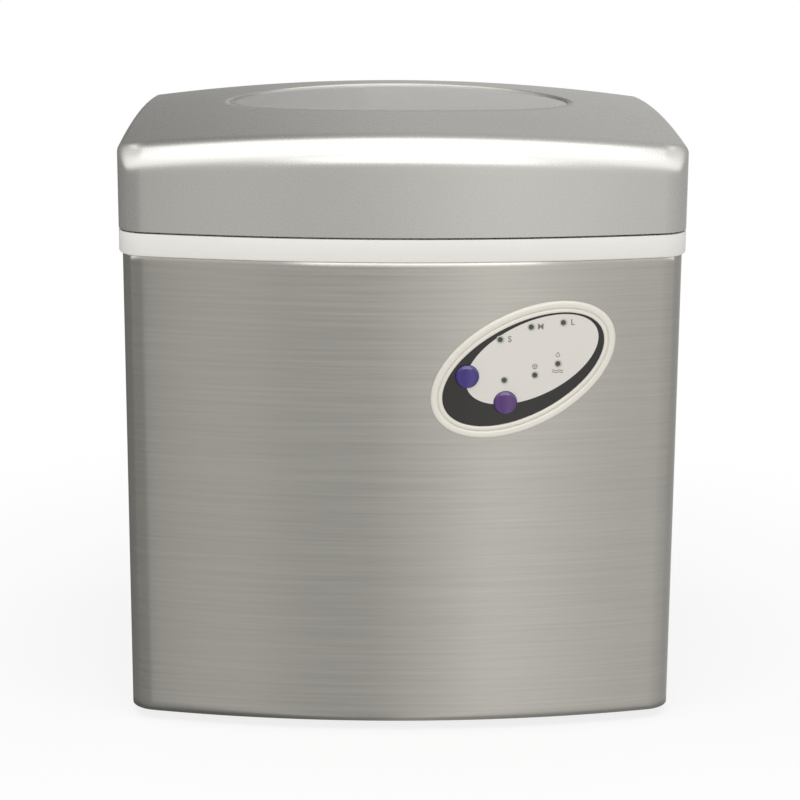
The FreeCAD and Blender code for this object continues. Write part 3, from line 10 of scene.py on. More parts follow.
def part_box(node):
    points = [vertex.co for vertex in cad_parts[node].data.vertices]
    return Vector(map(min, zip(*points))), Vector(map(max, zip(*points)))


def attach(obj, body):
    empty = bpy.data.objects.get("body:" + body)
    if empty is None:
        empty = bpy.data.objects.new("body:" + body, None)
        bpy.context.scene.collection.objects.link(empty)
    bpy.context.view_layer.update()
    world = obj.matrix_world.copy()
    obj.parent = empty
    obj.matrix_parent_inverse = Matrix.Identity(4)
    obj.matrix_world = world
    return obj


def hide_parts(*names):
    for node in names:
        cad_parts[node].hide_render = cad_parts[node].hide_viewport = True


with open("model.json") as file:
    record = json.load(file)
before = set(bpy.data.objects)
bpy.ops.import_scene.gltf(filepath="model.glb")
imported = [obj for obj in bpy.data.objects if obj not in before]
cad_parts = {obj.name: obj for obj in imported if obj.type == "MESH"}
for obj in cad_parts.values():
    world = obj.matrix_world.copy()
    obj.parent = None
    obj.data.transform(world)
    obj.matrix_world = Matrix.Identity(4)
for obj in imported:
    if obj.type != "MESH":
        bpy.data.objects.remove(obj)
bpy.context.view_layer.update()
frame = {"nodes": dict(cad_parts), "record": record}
RECORD = frame["record"]

# Looks of a countertop ice maker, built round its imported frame. Metres, +Z up, front at -Y.

# --- Places taken from the frame ----------------------------------------------------------
BAND_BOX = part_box("top_frame")
LID_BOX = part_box("lid_shell")
WRAP_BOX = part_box("wrap_shell")
HALF_WIDTH = BAND_BOX[1].x
BACK = BAND_BOX[1].y
LID_LOW = LID_BOX[0].z
BODY_LOW = WRAP_BOX[0].z
WRAP_TOP = WRAP_BOX[1].z
WRAP_BACK = WRAP_BOX[1].y

# --- Sizes of the casing ------------------------------------------------------------------
BOW_RADIUS = 0.769
CORNER_RADIUS = 0.0245
BODY_INSET = 0.0025
STEEL = 0.0008
BAND_LOW = 0.3475
BAND_TOP = LID_LOW - 0.0008
BAND_WALL = 0.0023
BAND_CHAMFER = 0.0014
BAND_SOFT = 0.0008
BAND_REAR_TOP = 0.360
BAND_REAR_STEP = 0.158
DECK_LOW = 0.3515
DECK_TOP = 0.3545
BOW_Y = -BACK + BOW_RADIUS
LID_WALL = 0.0025

# --- Crown of the lid ---------------------------------------------------------------------
CROWN_TOP = 0.442
CROWN_ACROSS = 1.529
CROWN_ALONG = 2.300
CROWN_Y = 0.010
ROUND_FRONT = 0.0205
ROUND_SIDE = 0.0055

# --- Window, hinge and tank ---------------------------------------------------------------
WINDOW_LONG = 0.131
WINDOW_SHORT = 0.0925
WINDOW_Y = 0.025
WINDOW_FIT = 0.0002
WINDOW_RECESS = 0.0012
WINDOW_THICK = 0.003
WINDOW_FLANGE = 0.006
TRIM_WIDTH = 0.0022
TRIM_RISE = 0.001
HINGE_X = 0.158
HINGE_Y = 0.166
HINGE_Z = 0.369
EAR_NEAR = 0.006
EAR_LENGTH = 0.006
EAR_RADIUS = 0.0045
EAR_EDGE = 0.0005
NOTCH_HALF = 0.0132
NOTCH_TOP = 0.3765
# The tank's mouth: half width, front, back, corner radius.
MOUTH = (0.1575, -0.1375, 0.0975, 0.012)
MOUTH_EDGE = 0.001

# --- Control panel ------------------------------------------------------------------------
PANEL = (0.085, 0.270)
PANEL_TILT = math.radians(27.0)
BEZEL_LONG = 0.0707
BEZEL_SHORT = 0.0414
BEZEL_WIDTH = 0.0086
FIRST_RIDGE = 0.0050
SECOND_RIDGE = 0.0055
GROOVE_RISE = 0.0009
FIRST_RISE = 0.0022
SECOND_RISE = 0.0019
INNER_RISE = 0.0002
BEZEL_SEAT = 0.00002
HOLE_PLAY = 0.001
HOLE_MARGIN = 0.004
HOLE_REACH = 0.78
FACE = (0.0911, 0.2774)
FACE_TILT = math.radians(24.8)
FACE_LONG = 0.0504
FACE_SHORT = 0.0266
FACE_PROUD = 0.0014
BUTTONS = {"power_button": (0.0450, 0.2659), "select_button": (0.0723, 0.2465)}
BUTTON_RADIUS = 0.0082
DOME_FALL = 0.0019
KEY_SIDE = 0.0065
KEY_STEM = 0.002
# Lamp centres as (x, z): three above for the size, then the three below.
LED_PLACES = ((0.0680, 0.2923), (0.0898, 0.3009), (0.1126, 0.3035),
              (0.0930, 0.2661), (0.1093, 0.2739), (0.0713, 0.2629))
LED_RADIUS = 0.0017

# --- Small sizes --------------------------------------------------------------------------
WELD = 0.000002
LID_EDGE = 0.0006
LED_RING = 0.0029
RING_SEAT = 0.00003
RING_RISE = 0.0004
MARK_BASE = 0.00001
MARK_PROUD = 0.00008
MARK_LINE = 0.00045
MARK_LIFT = 0.0062
CUBE = 0.0018
DROP = 0.0013
WAVE_HALF = 0.0040
WAVE_RISE = 0.0004
WAVE_STEP = 0.0014
LETTER_SIZE = 0.0060
LETTER_STEP = 0.0068
LETTER_THICK = 0.00006
LETTER_BOLD = 0.00004


# --- Shapes as arrays ---------------------------------------------------------------------
def outline(back, stops=None, corner=18, bow=72):
    """Plan of the casing, U shaped, from the left rear corner round the front to the right.

    Each point is an arc's centre plus its radius times the outward normal at an angle that
    runs evenly along the arc, and the two sides are straight. Returns points and normals.
    """
    centre_x = HALF_WIDTH - CORNER_RADIUS
    reach = math.sqrt((BOW_RADIUS - CORNER_RADIUS) ** 2 - centre_x ** 2)
    centre_y = BOW_Y - reach
    lean = math.atan2(reach, centre_x)
    turn = np.linspace(math.pi, math.pi + lean, corner + 1)
    left = np.column_stack((np.cos(turn), np.sin(turn)))
    sweep = np.linspace(math.pi + lean, 2 * math.pi - lean, bow + 1)[1:-1]
    front = np.column_stack((np.cos(sweep), np.sin(sweep)))
    run = np.linspace(back, centre_y, 11)[:-1] if stops is None else stops
    side = len(run)
    flank = np.column_stack((np.full(side, -1.0), np.zeros(side)))
    flank_at = np.column_stack((np.full(side, -HALF_WIDTH), run))
    left_at = np.array([-centre_x, centre_y]) + CORNER_RADIUS * left
    front_at = np.array([0.0, BOW_Y]) + BOW_RADIUS * front
    flip = np.array([-1.0, 1.0])
    points = np.vstack((flank_at, left_at, front_at, (left_at * flip)[::-1],
                        (flank_at * flip)[::-1]))
    normals = np.vstack((flank, left, front, (left * flip)[::-1], (flank * flip)[::-1]))
    return points, normals


def crown_z(x, y, drop=0.0):
    """Height of the lid's crown: an arc across X, carried round a larger arc along Y."""
    across = CROWN_ACROSS - drop
    along = CROWN_ALONG - drop
    fall = across - np.sqrt(across ** 2 - np.asarray(x) ** 2)
    return CROWN_TOP - CROWN_ALONG + np.sqrt((along - fall) ** 2
                                            - (np.asarray(y) - CROWN_Y) ** 2)


def bow_y(x, proud=0.0):
    """Y of the steel front at x, this far proud of it."""
    return BOW_Y - np.sqrt((BOW_RADIUS - BODY_INSET + proud) ** 2 - np.asarray(x) ** 2)


def ellipse(centre, half_long, half_short, tilt, angle):
    """Points of a turned ellipse in its plane: half axes times cosine and sine, then turned."""
    u = half_long * np.cos(angle)
    v = half_short * np.sin(angle)
    c = math.cos(tilt)
    s = math.sin(tilt)
    return np.stack((centre[0] + u * c - v * s, centre[1] + u * s + v * c), -1)


def angle_on(points, centre, half_long, half_short, tilt):
    """For each point, the ellipse's own angle in the direction of that point."""
    d = points - np.array(centre)
    c = math.cos(tilt)
    s = math.sin(tilt)
    return np.arctan2((-d[..., 0] * s + d[..., 1] * c) / half_short,
                      (d[..., 0] * c + d[..., 1] * s) / half_long)


def rounded_rectangle(half_x, front, back, radius, count=12):
    """Closed loop from the middle of the back edge: four quarter circles, straight between."""
    quarter = np.linspace(0, math.pi / 2, count + 1)
    corners = ((-half_x + radius, back - radius, math.pi / 2),
               (-half_x + radius, front + radius, math.pi),
               (half_x - radius, front + radius, 1.5 * math.pi),
               (half_x - radius, back - radius, 0.0))
    arcs = [np.column_stack((x + radius * np.cos(a + quarter), y + radius * np.sin(a + quarter)))
            for x, y, a in corners]
    return np.vstack([[[0.0, back]]] + arcs)


def resample(loop, shares):
    """Points of a closed polyline at these shares of its length."""
    closed = np.vstack((loop, loop[:1]))
    steps = np.linalg.norm(np.diff(closed, axis=0), axis=1)
    along = np.concatenate(([0.0], np.cumsum(steps))) / steps.sum()
    return np.column_stack([np.interp(shares, along, closed[:, k])
                            for k in range(closed.shape[1])])


def between(inner, outer, rows, bias=1.0):
    """Rows of points from one loop to another, each a straight blend at a growing share."""
    share = (np.linspace(0, 1, rows + 1) ** bias)[:, None, None]
    return inner[None] * (1 - share) + outer[None] * share


def lift(flat, heights):
    """Points (x, y, z) from flat points and heights of the same shape."""
    return np.concatenate((flat, np.broadcast_to(heights, flat.shape[:-1])[..., None]), -1)


def quads(rows, columns, closed):
    """Corner numbers of a grid's faces, row by row, joined end to start where it is closed."""
    r, c = np.meshgrid(np.arange(rows - 1), np.arange(columns if closed else columns - 1),
                       indexing="ij")
    n = (c + 1) % columns
    return np.stack((r * columns + c, r * columns + n, (r + 1) * columns + n,
                     (r + 1) * columns + c), -1).reshape(-1, 4)


# --- Making a piece -----------------------------------------------------------------------
def piece(name, grids, finish, body, stands_for=(), wall=0.0, sharp=32.0):
    """One mesh from grids of points welded where they meet, with its faces turned outwards.

    A grid is (points, closed) or (points, closed, which faces to keep). A wall above zero
    gives the skin that thickness, inwards.
    """
    points = []
    faces = []
    start = 0
    for grid in grids:
        rows, columns = grid[0].shape[:2]
        part = quads(rows, columns, grid[1])
        if len(grid) > 2:
            part = part[grid[2].reshape(-1)]
        points.append(grid[0].reshape(-1, 3))
        faces.append(part + start)
        start += rows * columns
    mesh = bpy.data.meshes.new(name)
    mesh.from_pydata(np.vstack(points).tolist(), [], np.vstack(faces).tolist())
    work = bmesh.new()
    work.from_mesh(mesh)
    bmesh.ops.remove_doubles(work, verts=work.verts, dist=WELD)
    loose = [v for v in work.verts if not v.link_faces]
    bmesh.ops.delete(work, geom=loose, context="VERTS")
    bmesh.ops.recalc_face_normals(work, faces=work.faces)
    work.to_mesh(mesh)
    work.free()
    place(name, mesh, finish, body, stands_for, wall, sharp)


def place(name, mesh, finish, body, stands_for=(), wall=0.0, sharp=32.0):
    """Puts a finished mesh in the scene: its shading, wall, finish, body and the nodes it stands for.
    """
    mesh.shade_smooth()
    mesh.set_sharp_from_angle(angle=math.radians(sharp))
    mesh.materials.clear()
    mesh.materials.append(finish)
    made = bpy.data.objects.new(name, mesh)
    bpy.context.scene.collection.objects.link(made)
    if wall:
        solid = made.modifiers.new("wall", "SOLIDIFY")
        solid.thickness = wall
        solid.offset = -1.0
        solid.use_even_offset = True
    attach(made, body)
    if stands_for:
        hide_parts(*stands_for)


# --- Lid ----------------------------------------------------------------------------------
def wall_heights(top):
    """Heights of the lid's wall under each top height: a small lower edge, the notch, the rest."""
    low = np.array([LID_LOW, LID_LOW + LID_EDGE, 0.5 * (LID_LOW + NOTCH_TOP), NOTCH_TOP])
    share = np.linspace(0, 1, 8)[1:, None]
    upper = NOTCH_TOP + (top[None] - NOTCH_TOP) * share
    return np.vstack((np.broadcast_to(low[:, None], (4, len(top))), upper))


def lid_skin(finish):
    """The lid's painted skin.

    Along the plan the top edge is rounded by a radius that grows from the sides to the front:
    inset is r(1 - cos a) and the fall below the crown is r(1 - sin a), a from 0 to 90 degrees.
    The crown between the rounding and the window is a straight blend between the two loops.
    """
    points, normals = outline(BACK)
    facing = np.clip(-normals[:, 1], 0, 1)
    radius = ROUND_SIDE + (ROUND_FRONT - ROUND_SIDE) * facing ** 2 * (3 - 2 * facing)
    turn = np.linspace(0, math.pi / 2, 17)[:, None]
    flat = points - (radius * (1 - np.cos(turn)))[..., None] * normals
    rounding = lift(flat, crown_z(flat[..., 0], flat[..., 1]) - radius * (1 - np.sin(turn)))
    heights = wall_heights(rounding[0, :, 2])
    inset = np.zeros(len(heights))
    inset[0] = LID_EDGE
    wall = lift(points - inset[:, None, None] * normals, heights)
    edge_x = rounding[:, 0, 0]
    notches = [side * (HINGE_X + half) for side in (-1, 1) for half in (-NOTCH_HALF, NOTCH_HALF)]
    middle_x = np.unique(np.round(np.concatenate((np.linspace(edge_x[-1], -edge_x[-1], 61)[1:-1],
                                                  notches)), 6))
    back_x = np.concatenate((edge_x, middle_x, -edge_x[::-1]))
    back_top = np.concatenate((rounding[:, 0, 2], crown_z(middle_x, BACK), rounding[::-1, -1, 2]))
    rear_z = wall_heights(back_top)
    rear_x = back_x * (1 - inset[:, None] / HALF_WIDTH)
    rear = np.stack((rear_x, np.full(rear_x.shape, BACK), rear_z), -1)
    mid_x = 0.5 * (back_x[1:] + back_x[:-1])
    in_notch = np.any([np.abs(mid_x - side * HINGE_X) < NOTCH_HALF for side in (-1, 1)], axis=0)
    low_row = np.arange(len(rear_z) - 1) < 3
    keep = ~(low_row[:, None] & in_notch[None])
    rim = np.vstack((flat[-1], np.column_stack((middle_x[::-1], np.full(len(middle_x), BACK)))))
    centre = (0.0, WINDOW_Y)
    matched = angle_on(rim, centre, WINDOW_LONG, WINDOW_SHORT, 0)
    hole = ellipse(centre, WINDOW_LONG, WINDOW_SHORT, 0, matched)
    top = between(hole, rim, 14)
    crown = lift(top, crown_z(top[..., 0], top[..., 1]))
    piece("lid_skin", [(rounding, False), (wall, False), (rear, False, keep),
                       (crown, True)], finish, "lid", ["lid_shell"],
          wall=LID_WALL)


def window_rows(rows, count=144):
    """Rows round the window. A row is (share, grow, drop): that share of the grown ellipse,
    and how far it lies below the crown."""
    angle = np.linspace(0, 2 * math.pi, count, endpoint=False)
    made = []
    for share, grow, drop in rows:
        flat = ellipse((0.0, 0.0), WINDOW_LONG + grow, WINDOW_SHORT + grow, 0, angle) * share
        flat = flat + np.array([0.0, WINDOW_Y])
        made.append(lift(flat, crown_z(flat[:, 0], flat[:, 1], drop)))
    return np.array(made)


def lid_window(finish, bright):
    """The lens with the flange under it, and the thin bright ring that lies in its step."""
    floor = WINDOW_RECESS + WINDOW_THICK
    shares = np.linspace(0, 1, 11)
    under = LID_WALL + WINDOW_FIT
    rows = [(s, -WINDOW_FIT, WINDOW_RECESS) for s in shares]
    rows += [(1, -WINDOW_FIT, under), (1, WINDOW_FLANGE, under), (1, WINDOW_FLANGE, floor)]
    rows += [(s, WINDOW_FLANGE, floor) for s in shares[::-1]]
    piece("window_lens", [(window_rows(rows), True)], finish, "lid",
          ["lid_window"])
    turn = np.linspace(0, math.pi, 13)
    half = TRIM_WIDTH / 2
    middle = -WINDOW_FIT - half
    rows = [(1, middle + half * math.cos(a), WINDOW_RECESS - TRIM_RISE * math.sin(a) ** 0.7)
            for a in turn]
    rows.append(rows[0])
    piece("window_ring", [(window_rows(rows), True)], bright, "lid",
          ["window_trim"])


# --- Steel wrap and white top frame -------------------------------------------------------
def steel_wrap(finish):
    """Brushed sheet round the front and sides: the plan inset and carried straight up.

    Between a rectangle of the sheet and the panel's opening the faces are a blend from the
    turned ellipse out to the rectangle's own points.
    """
    points, normals = outline(WRAP_BACK)
    flat = points - BODY_INSET * normals
    heights = np.linspace(BODY_LOW, WRAP_TOP, 45)
    x = flat[:, 0]
    hole_long = BEZEL_LONG - BEZEL_WIDTH + HOLE_PLAY
    hole_short = BEZEL_SHORT - BEZEL_WIDTH + HOLE_PLAY
    on_front = normals[:, 1] < -0.5
    across = hole_long + HOLE_MARGIN
    upward = hole_long * HOLE_REACH
    columns = np.nonzero(on_front & (x > PANEL[0] - across) & (x < PANEL[0] + across))[0]
    rows = np.nonzero((heights > PANEL[1] - upward) & (heights < PANEL[1] + upward))[0]
    c0, c1, r0, r1 = columns[0], columns[-1], rows[0], rows[-1]
    keep = np.ones((len(heights) - 1, len(x) - 1), bool)
    keep[r0:r1, c0:c1] = False
    sheet = lift(np.broadcast_to(flat, (len(heights),) + flat.shape), heights[:, None])
    frame_x = np.concatenate((x[c0:c1], np.full(r1 - r0, x[c1]), x[c1:c0:-1],
                              np.full(r1 - r0, x[c0])))
    frame_z = np.concatenate((np.full(c1 - c0, heights[r0]), heights[r0:r1],
                              np.full(c1 - c0, heights[r1]), heights[r1:r0:-1]))
    loop = np.column_stack((frame_x, frame_z))
    matched = angle_on(loop, PANEL, hole_long, hole_short, PANEL_TILT)
    hole = ellipse(PANEL, hole_long, hole_short, PANEL_TILT, matched)
    patch = between(hole, loop, 8)
    around = np.stack((patch[..., 0], bow_y(patch[..., 0]), patch[..., 1]), -1)
    piece("steel_wrap_skin", [(sheet, False, keep), (around, True)], finish, "housing",
          ["wrap_shell"], wall=STEEL)


def band_rows(rows):
    """The band's section carried round the closed plan, mitred at its two rear corners.

    A row is (inset, height, follows): follows is 1 where the row drops with the lowered rear.
    """
    stops = np.array([BACK, BAND_REAR_STEP + 0.0001, BAND_REAR_STEP - 0.0001, 0.10, 0.04, -0.04])
    points, normals = outline(BACK, stops)
    normals[0] = (-1, 1)
    normals[-1] = (1, 1)
    across = np.linspace(HALF_WIDTH, -HALF_WIDTH, 21)[1:-1]
    points = np.vstack((points, np.column_stack((across, np.full(19, BACK)))))
    normals = np.vstack((normals, np.tile([0.0, 1.0], (19, 1))))
    lowered = np.where(points[:, 1] > BAND_REAR_STEP, BAND_TOP - BAND_REAR_TOP, 0.0)
    return np.array([lift(points - inset * normals, height - follows * lowered)
                     for inset, height, follows in rows])


def top_frame(finish):
    """White band, deck with the tank's mouth, and the four hinge ears, as three pieces."""
    rows = [(BAND_CHAMFER, BAND_LOW, 0), (0.3 * BAND_CHAMFER, BAND_LOW + 0.5 * BAND_CHAMFER, 0),
            (0, BAND_LOW + BAND_CHAMFER + 0.5 * BAND_SOFT, 0), (0, BAND_TOP - BAND_SOFT, 1),
            (0.25 * BAND_SOFT, BAND_TOP - 0.3 * BAND_SOFT, 1), (BAND_SOFT, BAND_TOP, 1),
            (BAND_WALL - 0.4 * BAND_SOFT, BAND_TOP, 1),
            (BAND_WALL, BAND_TOP - 0.4 * BAND_SOFT, 1),
            (BAND_WALL, BAND_LOW, 0), (BAND_CHAMFER, BAND_LOW, 0)]
    piece("white_band", [(band_rows(rows), True)], finish, "housing",
          ["top_frame"])
    points, normals = outline(BACK - BAND_WALL)
    outer = np.vstack(([[0.0, BACK - BAND_WALL]], points - BAND_WALL * normals))
    half_x, front, back, corner = MOUTH
    inner = rounded_rectangle(half_x, front, back, corner)
    wide = rounded_rectangle(half_x + MOUTH_EDGE, front - MOUTH_EDGE, back + MOUTH_EDGE,
                             corner + MOUTH_EDGE)
    shares = np.unique(np.concatenate([loop_shares(outer), loop_shares(inner)]))
    outer = resample(outer, shares)
    inner = resample(inner, shares)
    wide = resample(wide, shares)
    deck = np.array([lift(outer, DECK_LOW), lift(outer, DECK_TOP), lift(wide, DECK_TOP),
                     lift(0.3 * wide + 0.7 * inner, DECK_TOP - 0.3 * MOUTH_EDGE),
                     lift(inner, DECK_TOP - MOUTH_EDGE), lift(inner, DECK_LOW), lift(outer, DECK_LOW)])
    piece("deck_plate", [(deck, True)], finish, "housing")
    arch = np.linspace(0, math.pi, 19)
    profile = np.vstack((np.column_stack((HINGE_Y + EAR_RADIUS * np.cos(arch),
                                          HINGE_Z + EAR_RADIUS * np.sin(arch))),
                         [[HINGE_Y - EAR_RADIUS, DECK_TOP], [HINGE_Y + EAR_RADIUS, DECK_TOP]]))
    ears = []
    for middle in (-HINGE_X, HINGE_X):
        for side in (-1, 1):
            near = middle + side * EAR_NEAR
            ears.append((slab(profile, near, near + side * EAR_LENGTH, EAR_EDGE), True))
    piece("hinge_ears", ears, finish, "housing")


def loop_shares(loop):
    """How far along its closed length each point of a loop lies, from 0 to 1."""
    steps = np.linalg.norm(np.diff(np.vstack((loop, loop[:1])), axis=0), axis=1)
    return np.round(np.concatenate(([0.0], np.cumsum(steps)[:-1])) / steps.sum(), 6)


def slab(profile, x0, x1, edge):
    """A flat (y, z) profile carried from x0 to x1, its rims stepped in by a small edge."""
    centre = profile.mean(0)
    size = np.abs(profile - centre).max()
    near = centre + (profile - centre) * (1 - edge / size)
    step = math.copysign(edge, x1 - x0)
    rows = ((x0, centre + 0 * profile), (x0, near), (x0 + step, profile), (x1 - step, profile),
            (x1, near), (x1, centre + 0 * profile))
    return np.array([np.column_stack((np.full(len(flat), x), flat)) for x, flat in rows])


# --- Control panel ------------------------------------------------------------------------
def bulge(share, low, high, rise):
    """A rounded ridge: a straight base from low to high, plus a superellipse up to rise."""
    base = low + (high - low) * share
    return base + (rise - base) * (1 - np.abs(2 * share - 1) ** 2.4) ** (1 / 2.4)


def bezel(finish):
    """Two rounded ridges with a groove between them, carried round the turned ellipse."""
    angle = np.linspace(0, 2 * math.pi, 160, endpoint=False)
    share = 0.5 - 0.5 * np.cos(np.linspace(0, math.pi, 19))
    first = (FIRST_RIDGE * share, bulge(share, 0.0, GROOVE_RISE, FIRST_RISE))
    second = (SECOND_RIDGE + (BEZEL_WIDTH - SECOND_RIDGE) * share,
              bulge(share, GROOVE_RISE, INNER_RISE, SECOND_RISE))
    insets = np.concatenate((first[0], second[0], [BEZEL_WIDTH, 0.0]))
    heights = np.concatenate((first[1], second[1], [BEZEL_SEAT, BEZEL_SEAT]))
    rows = []
    for inset, height in zip(insets, heights):
        flat = ellipse(PANEL, BEZEL_LONG - inset, BEZEL_SHORT - inset, PANEL_TILT, angle)
        rows.append(np.stack((flat[:, 0], bow_y(flat[:, 0], height), flat[:, 1]), -1))
    piece("bezel_rim", [(np.array(rows), True)], finish, "housing",
          ["control_bezel"])


def turned(place_xz, profile, count=48):
    """A profile of (radius, y) turned about the axis along Y through a point (x, z)."""
    angle = np.linspace(0, 2 * math.pi, count, endpoint=False)
    radius = profile[:, 0, None]
    return np.stack((place_xz[0] + radius * np.cos(angle),
                     np.broadcast_to(profile[:, 1, None], (len(profile), count)),
                     place_xz[1] + radius * np.sin(angle)), -1)


def button(node, body, finish):
    """A domed key over a straight side: at a share t of the radius the dome has fallen by
    DOME_FALL times 1 - (1 - t^2.3)^(1/2.1)."""
    at = BUTTONS[node]
    low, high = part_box(node)
    share = np.sin(np.linspace(0, math.pi / 2, 15))
    dome = low.y + DOME_FALL * (1 - (1 - share ** 2.3) ** (1 / 2.1))
    tail = low.y + KEY_SIDE
    profile = np.vstack((np.column_stack((BUTTON_RADIUS * share, dome)),
                         [[BUTTON_RADIUS, tail], [KEY_STEM, tail], [KEY_STEM, high.y], [0, high.y]]))
    piece(node + "_dome", [(turned(at, profile), True)], finish, body,
          [node])


def led_rings(finish):
    """Pale raised ring round each lamp: a half-round section turned about the lamp's axis."""
    turn = np.linspace(0, math.pi, 7)
    half = 0.5 * (LED_RING - LED_RADIUS)
    rings = []
    for at in LED_PLACES:
        level = float(bow_y(at[0], FACE_PROUD)) + RING_SEAT
        profile = np.column_stack((LED_RADIUS + half - half * np.cos(turn),
                                   level - RING_RISE * np.sin(turn)))
        rings.append((turned(at, np.vstack((profile, profile[:1])), 32), True))
    piece("led_rings", rings, finish, "housing")


def on_face(x, z, proud):
    """Points of the panel face's front at x and z, this far proud of it."""
    x = np.asarray(x)
    return np.stack((x, bow_y(x, FACE_PROUD + proud), np.broadcast_to(z, x.shape)), -1)


def stroke(path, width, closed):
    """A flat ribbon on the panel face: the path moved half a width to either side of itself."""
    path = np.asarray(path, float)
    ahead = np.roll(path, -1, 0) - path
    behind = path - np.roll(path, 1, 0)
    if not closed:
        ahead[-1] = behind[-1]
        behind[0] = ahead[0]
    ahead = ahead / np.linalg.norm(ahead, axis=1)[:, None]
    behind = behind / np.linalg.norm(behind, axis=1)[:, None]
    along = ahead + behind
    along = along / np.linalg.norm(along, axis=1)[:, None]
    stretch = 1 / np.clip((along * ahead).sum(1), 0.5, 1)
    side = np.column_stack((-along[:, 1], along[:, 0])) * (stretch * width / 2)[:, None]
    rows = [(path + side, MARK_BASE), (path + side, MARK_PROUD), (path - side, MARK_PROUD),
            (path - side, MARK_BASE)]
    return np.array([on_face(flat[:, 0], flat[:, 1], proud) for flat, proud in rows]), closed


def pictograms(finish):
    """Small line marks by two of the lamps: a cube, and a drop over two ripples.

    The drop is a circle whose upper half is drawn out to a point; ripples are sine waves.
    """
    marks = []
    cube_x, cube_z = LED_PLACES[3][0], LED_PLACES[3][1] + MARK_LIFT
    corner = np.linspace(math.pi / 6, 2 * math.pi + math.pi / 6, 7)[:-1]
    hexagon = np.column_stack((cube_x + CUBE * np.cos(corner), cube_z + CUBE * np.sin(corner)))
    marks.append(stroke(hexagon, MARK_LINE, True))
    for k in (0, 2, 4):
        marks.append(stroke([(cube_x, cube_z), hexagon[k]], MARK_LINE, False))
    drop_x, drop_z = LED_PLACES[4][0], LED_PLACES[4][1] + MARK_LIFT
    a = np.linspace(0, 2 * math.pi, 37)[:-1]
    rise = np.where(np.sin(a) > 0, 1.5 * np.abs(np.sin(a)) ** 1.6, np.sin(a))
    drop = np.column_stack((drop_x + DROP * np.cos(a) * (1 - 0.45 * np.clip(np.sin(a), 0, 1)),
                            drop_z + DROP * rise))
    marks.append(stroke(drop, MARK_LINE, True))
    run = np.linspace(-1, 1, 25)
    for step in (0, 1):
        wave_z = LED_PLACES[4][1] - MARK_LIFT + WAVE_STEP * step
        wave = np.column_stack((drop_x + WAVE_HALF * run,
                                wave_z + WAVE_RISE * np.sin(2 * math.pi * run)))
        marks.append(stroke(wave, MARK_LINE, False))
    piece("panel_pictograms", marks, finish, "housing", sharp=60.0)


def size_letters(finish):
    """The letters S, M and L beside the upper lamps, laid on the bowed face."""
    letters = zip("SML", LED_PLACES[:3])
    for letter, at in letters:
        text = bpy.data.curves.new("letter_" + letter, "FONT")
        text.body = letter
        text.size = LETTER_SIZE
        text.align_x = "CENTER"
        text.align_y = "CENTER"
        text.extrude = LETTER_THICK
        text.offset = LETTER_BOLD
        text.resolution_u = 6
        holder = bpy.data.objects.new("text", text)
        bpy.context.scene.collection.objects.link(holder)
        bpy.context.view_layer.update()
        mesh = bpy.data.meshes.new_from_object(holder)
        bpy.data.objects.remove(holder)
        flat = np.zeros(len(mesh.vertices) * 3, np.float32)
        mesh.vertices.foreach_get("co", flat)
        flat = flat.reshape(-1, 3).astype(float)
        at_face = on_face(at[0] + LETTER_STEP + flat[:, 0], at[1] + flat[:, 1],
                          MARK_BASE + MARK_PROUD + flat[:, 2])
        mesh.vertices.foreach_set("co", at_face.astype(np.float32).ravel())
        mesh.update()
        place("size_letter_" + letter, mesh, finish, "housing")


# --- Finishes -----------------------------------------------------------------------------
class Net:
    """A node tree being wired: each call adds a node, sets its values and makes its links."""

    def __init__(self, tree):
        self.tree = tree

    def __call__(self, kind, sockets=None, **settings):
        made = self.tree.nodes.new("ShaderNode" + kind)
        for key, value in settings.items():
            setattr(made, key, value)
        for key, value in (sockets or {}).items():
            if isinstance(value, bpy.types.NodeSocket):
                self.tree.links.new(value, made.inputs[key])
            else:
                made.inputs[key].default_value = value
        return made


def effect(name, inputs, outputs, build):
    """A shader node group: its sockets, then what build() wires between them."""
    tree = bpy.data.node_groups.new(name, "ShaderNodeTree")
    for label, kind, value in inputs:
        socket = tree.interface.new_socket(name=label, in_out="INPUT",
                                           socket_type="NodeSocket" + kind)
        socket.default_value = value
    for label, kind in outputs:
        tree.interface.new_socket(name=label, in_out="OUTPUT", socket_type="NodeSocket" + kind)
    entry = tree.nodes.new("NodeGroupInput")
    leave = tree.nodes.new("NodeGroupOutput")
    for label, socket in build(Net(tree), entry.outputs).items():
        tree.links.new(socket, leave.inputs[label])
    return tree


SURFACE = (("Colour", "Color"), ("Roughness", "Float"), ("Height", "Float"))


def scaled(net, scale):
    """Object coordinates stretched by a scale for each axis."""
    place_on = net("TexCoord").outputs["Object"]
    return net("Mapping", {"Vector": place_on, "Scale": scale}).outputs["Vector"]


def shaded(net, colour, amount, pattern):
    """Colour times one plus amount times a pattern that runs from 0 to 1 about a half."""
    centred = net("Math", {0: pattern, 1: -0.5}, operation="ADD").outputs[0]
    gain = net("Math", {0: centred, 1: amount, 2: 1.0}, operation="MULTIPLY_ADD").outputs[0]
    return net("VectorMath", {0: colour, "Scale": gain}, operation="SCALE").outputs[0]


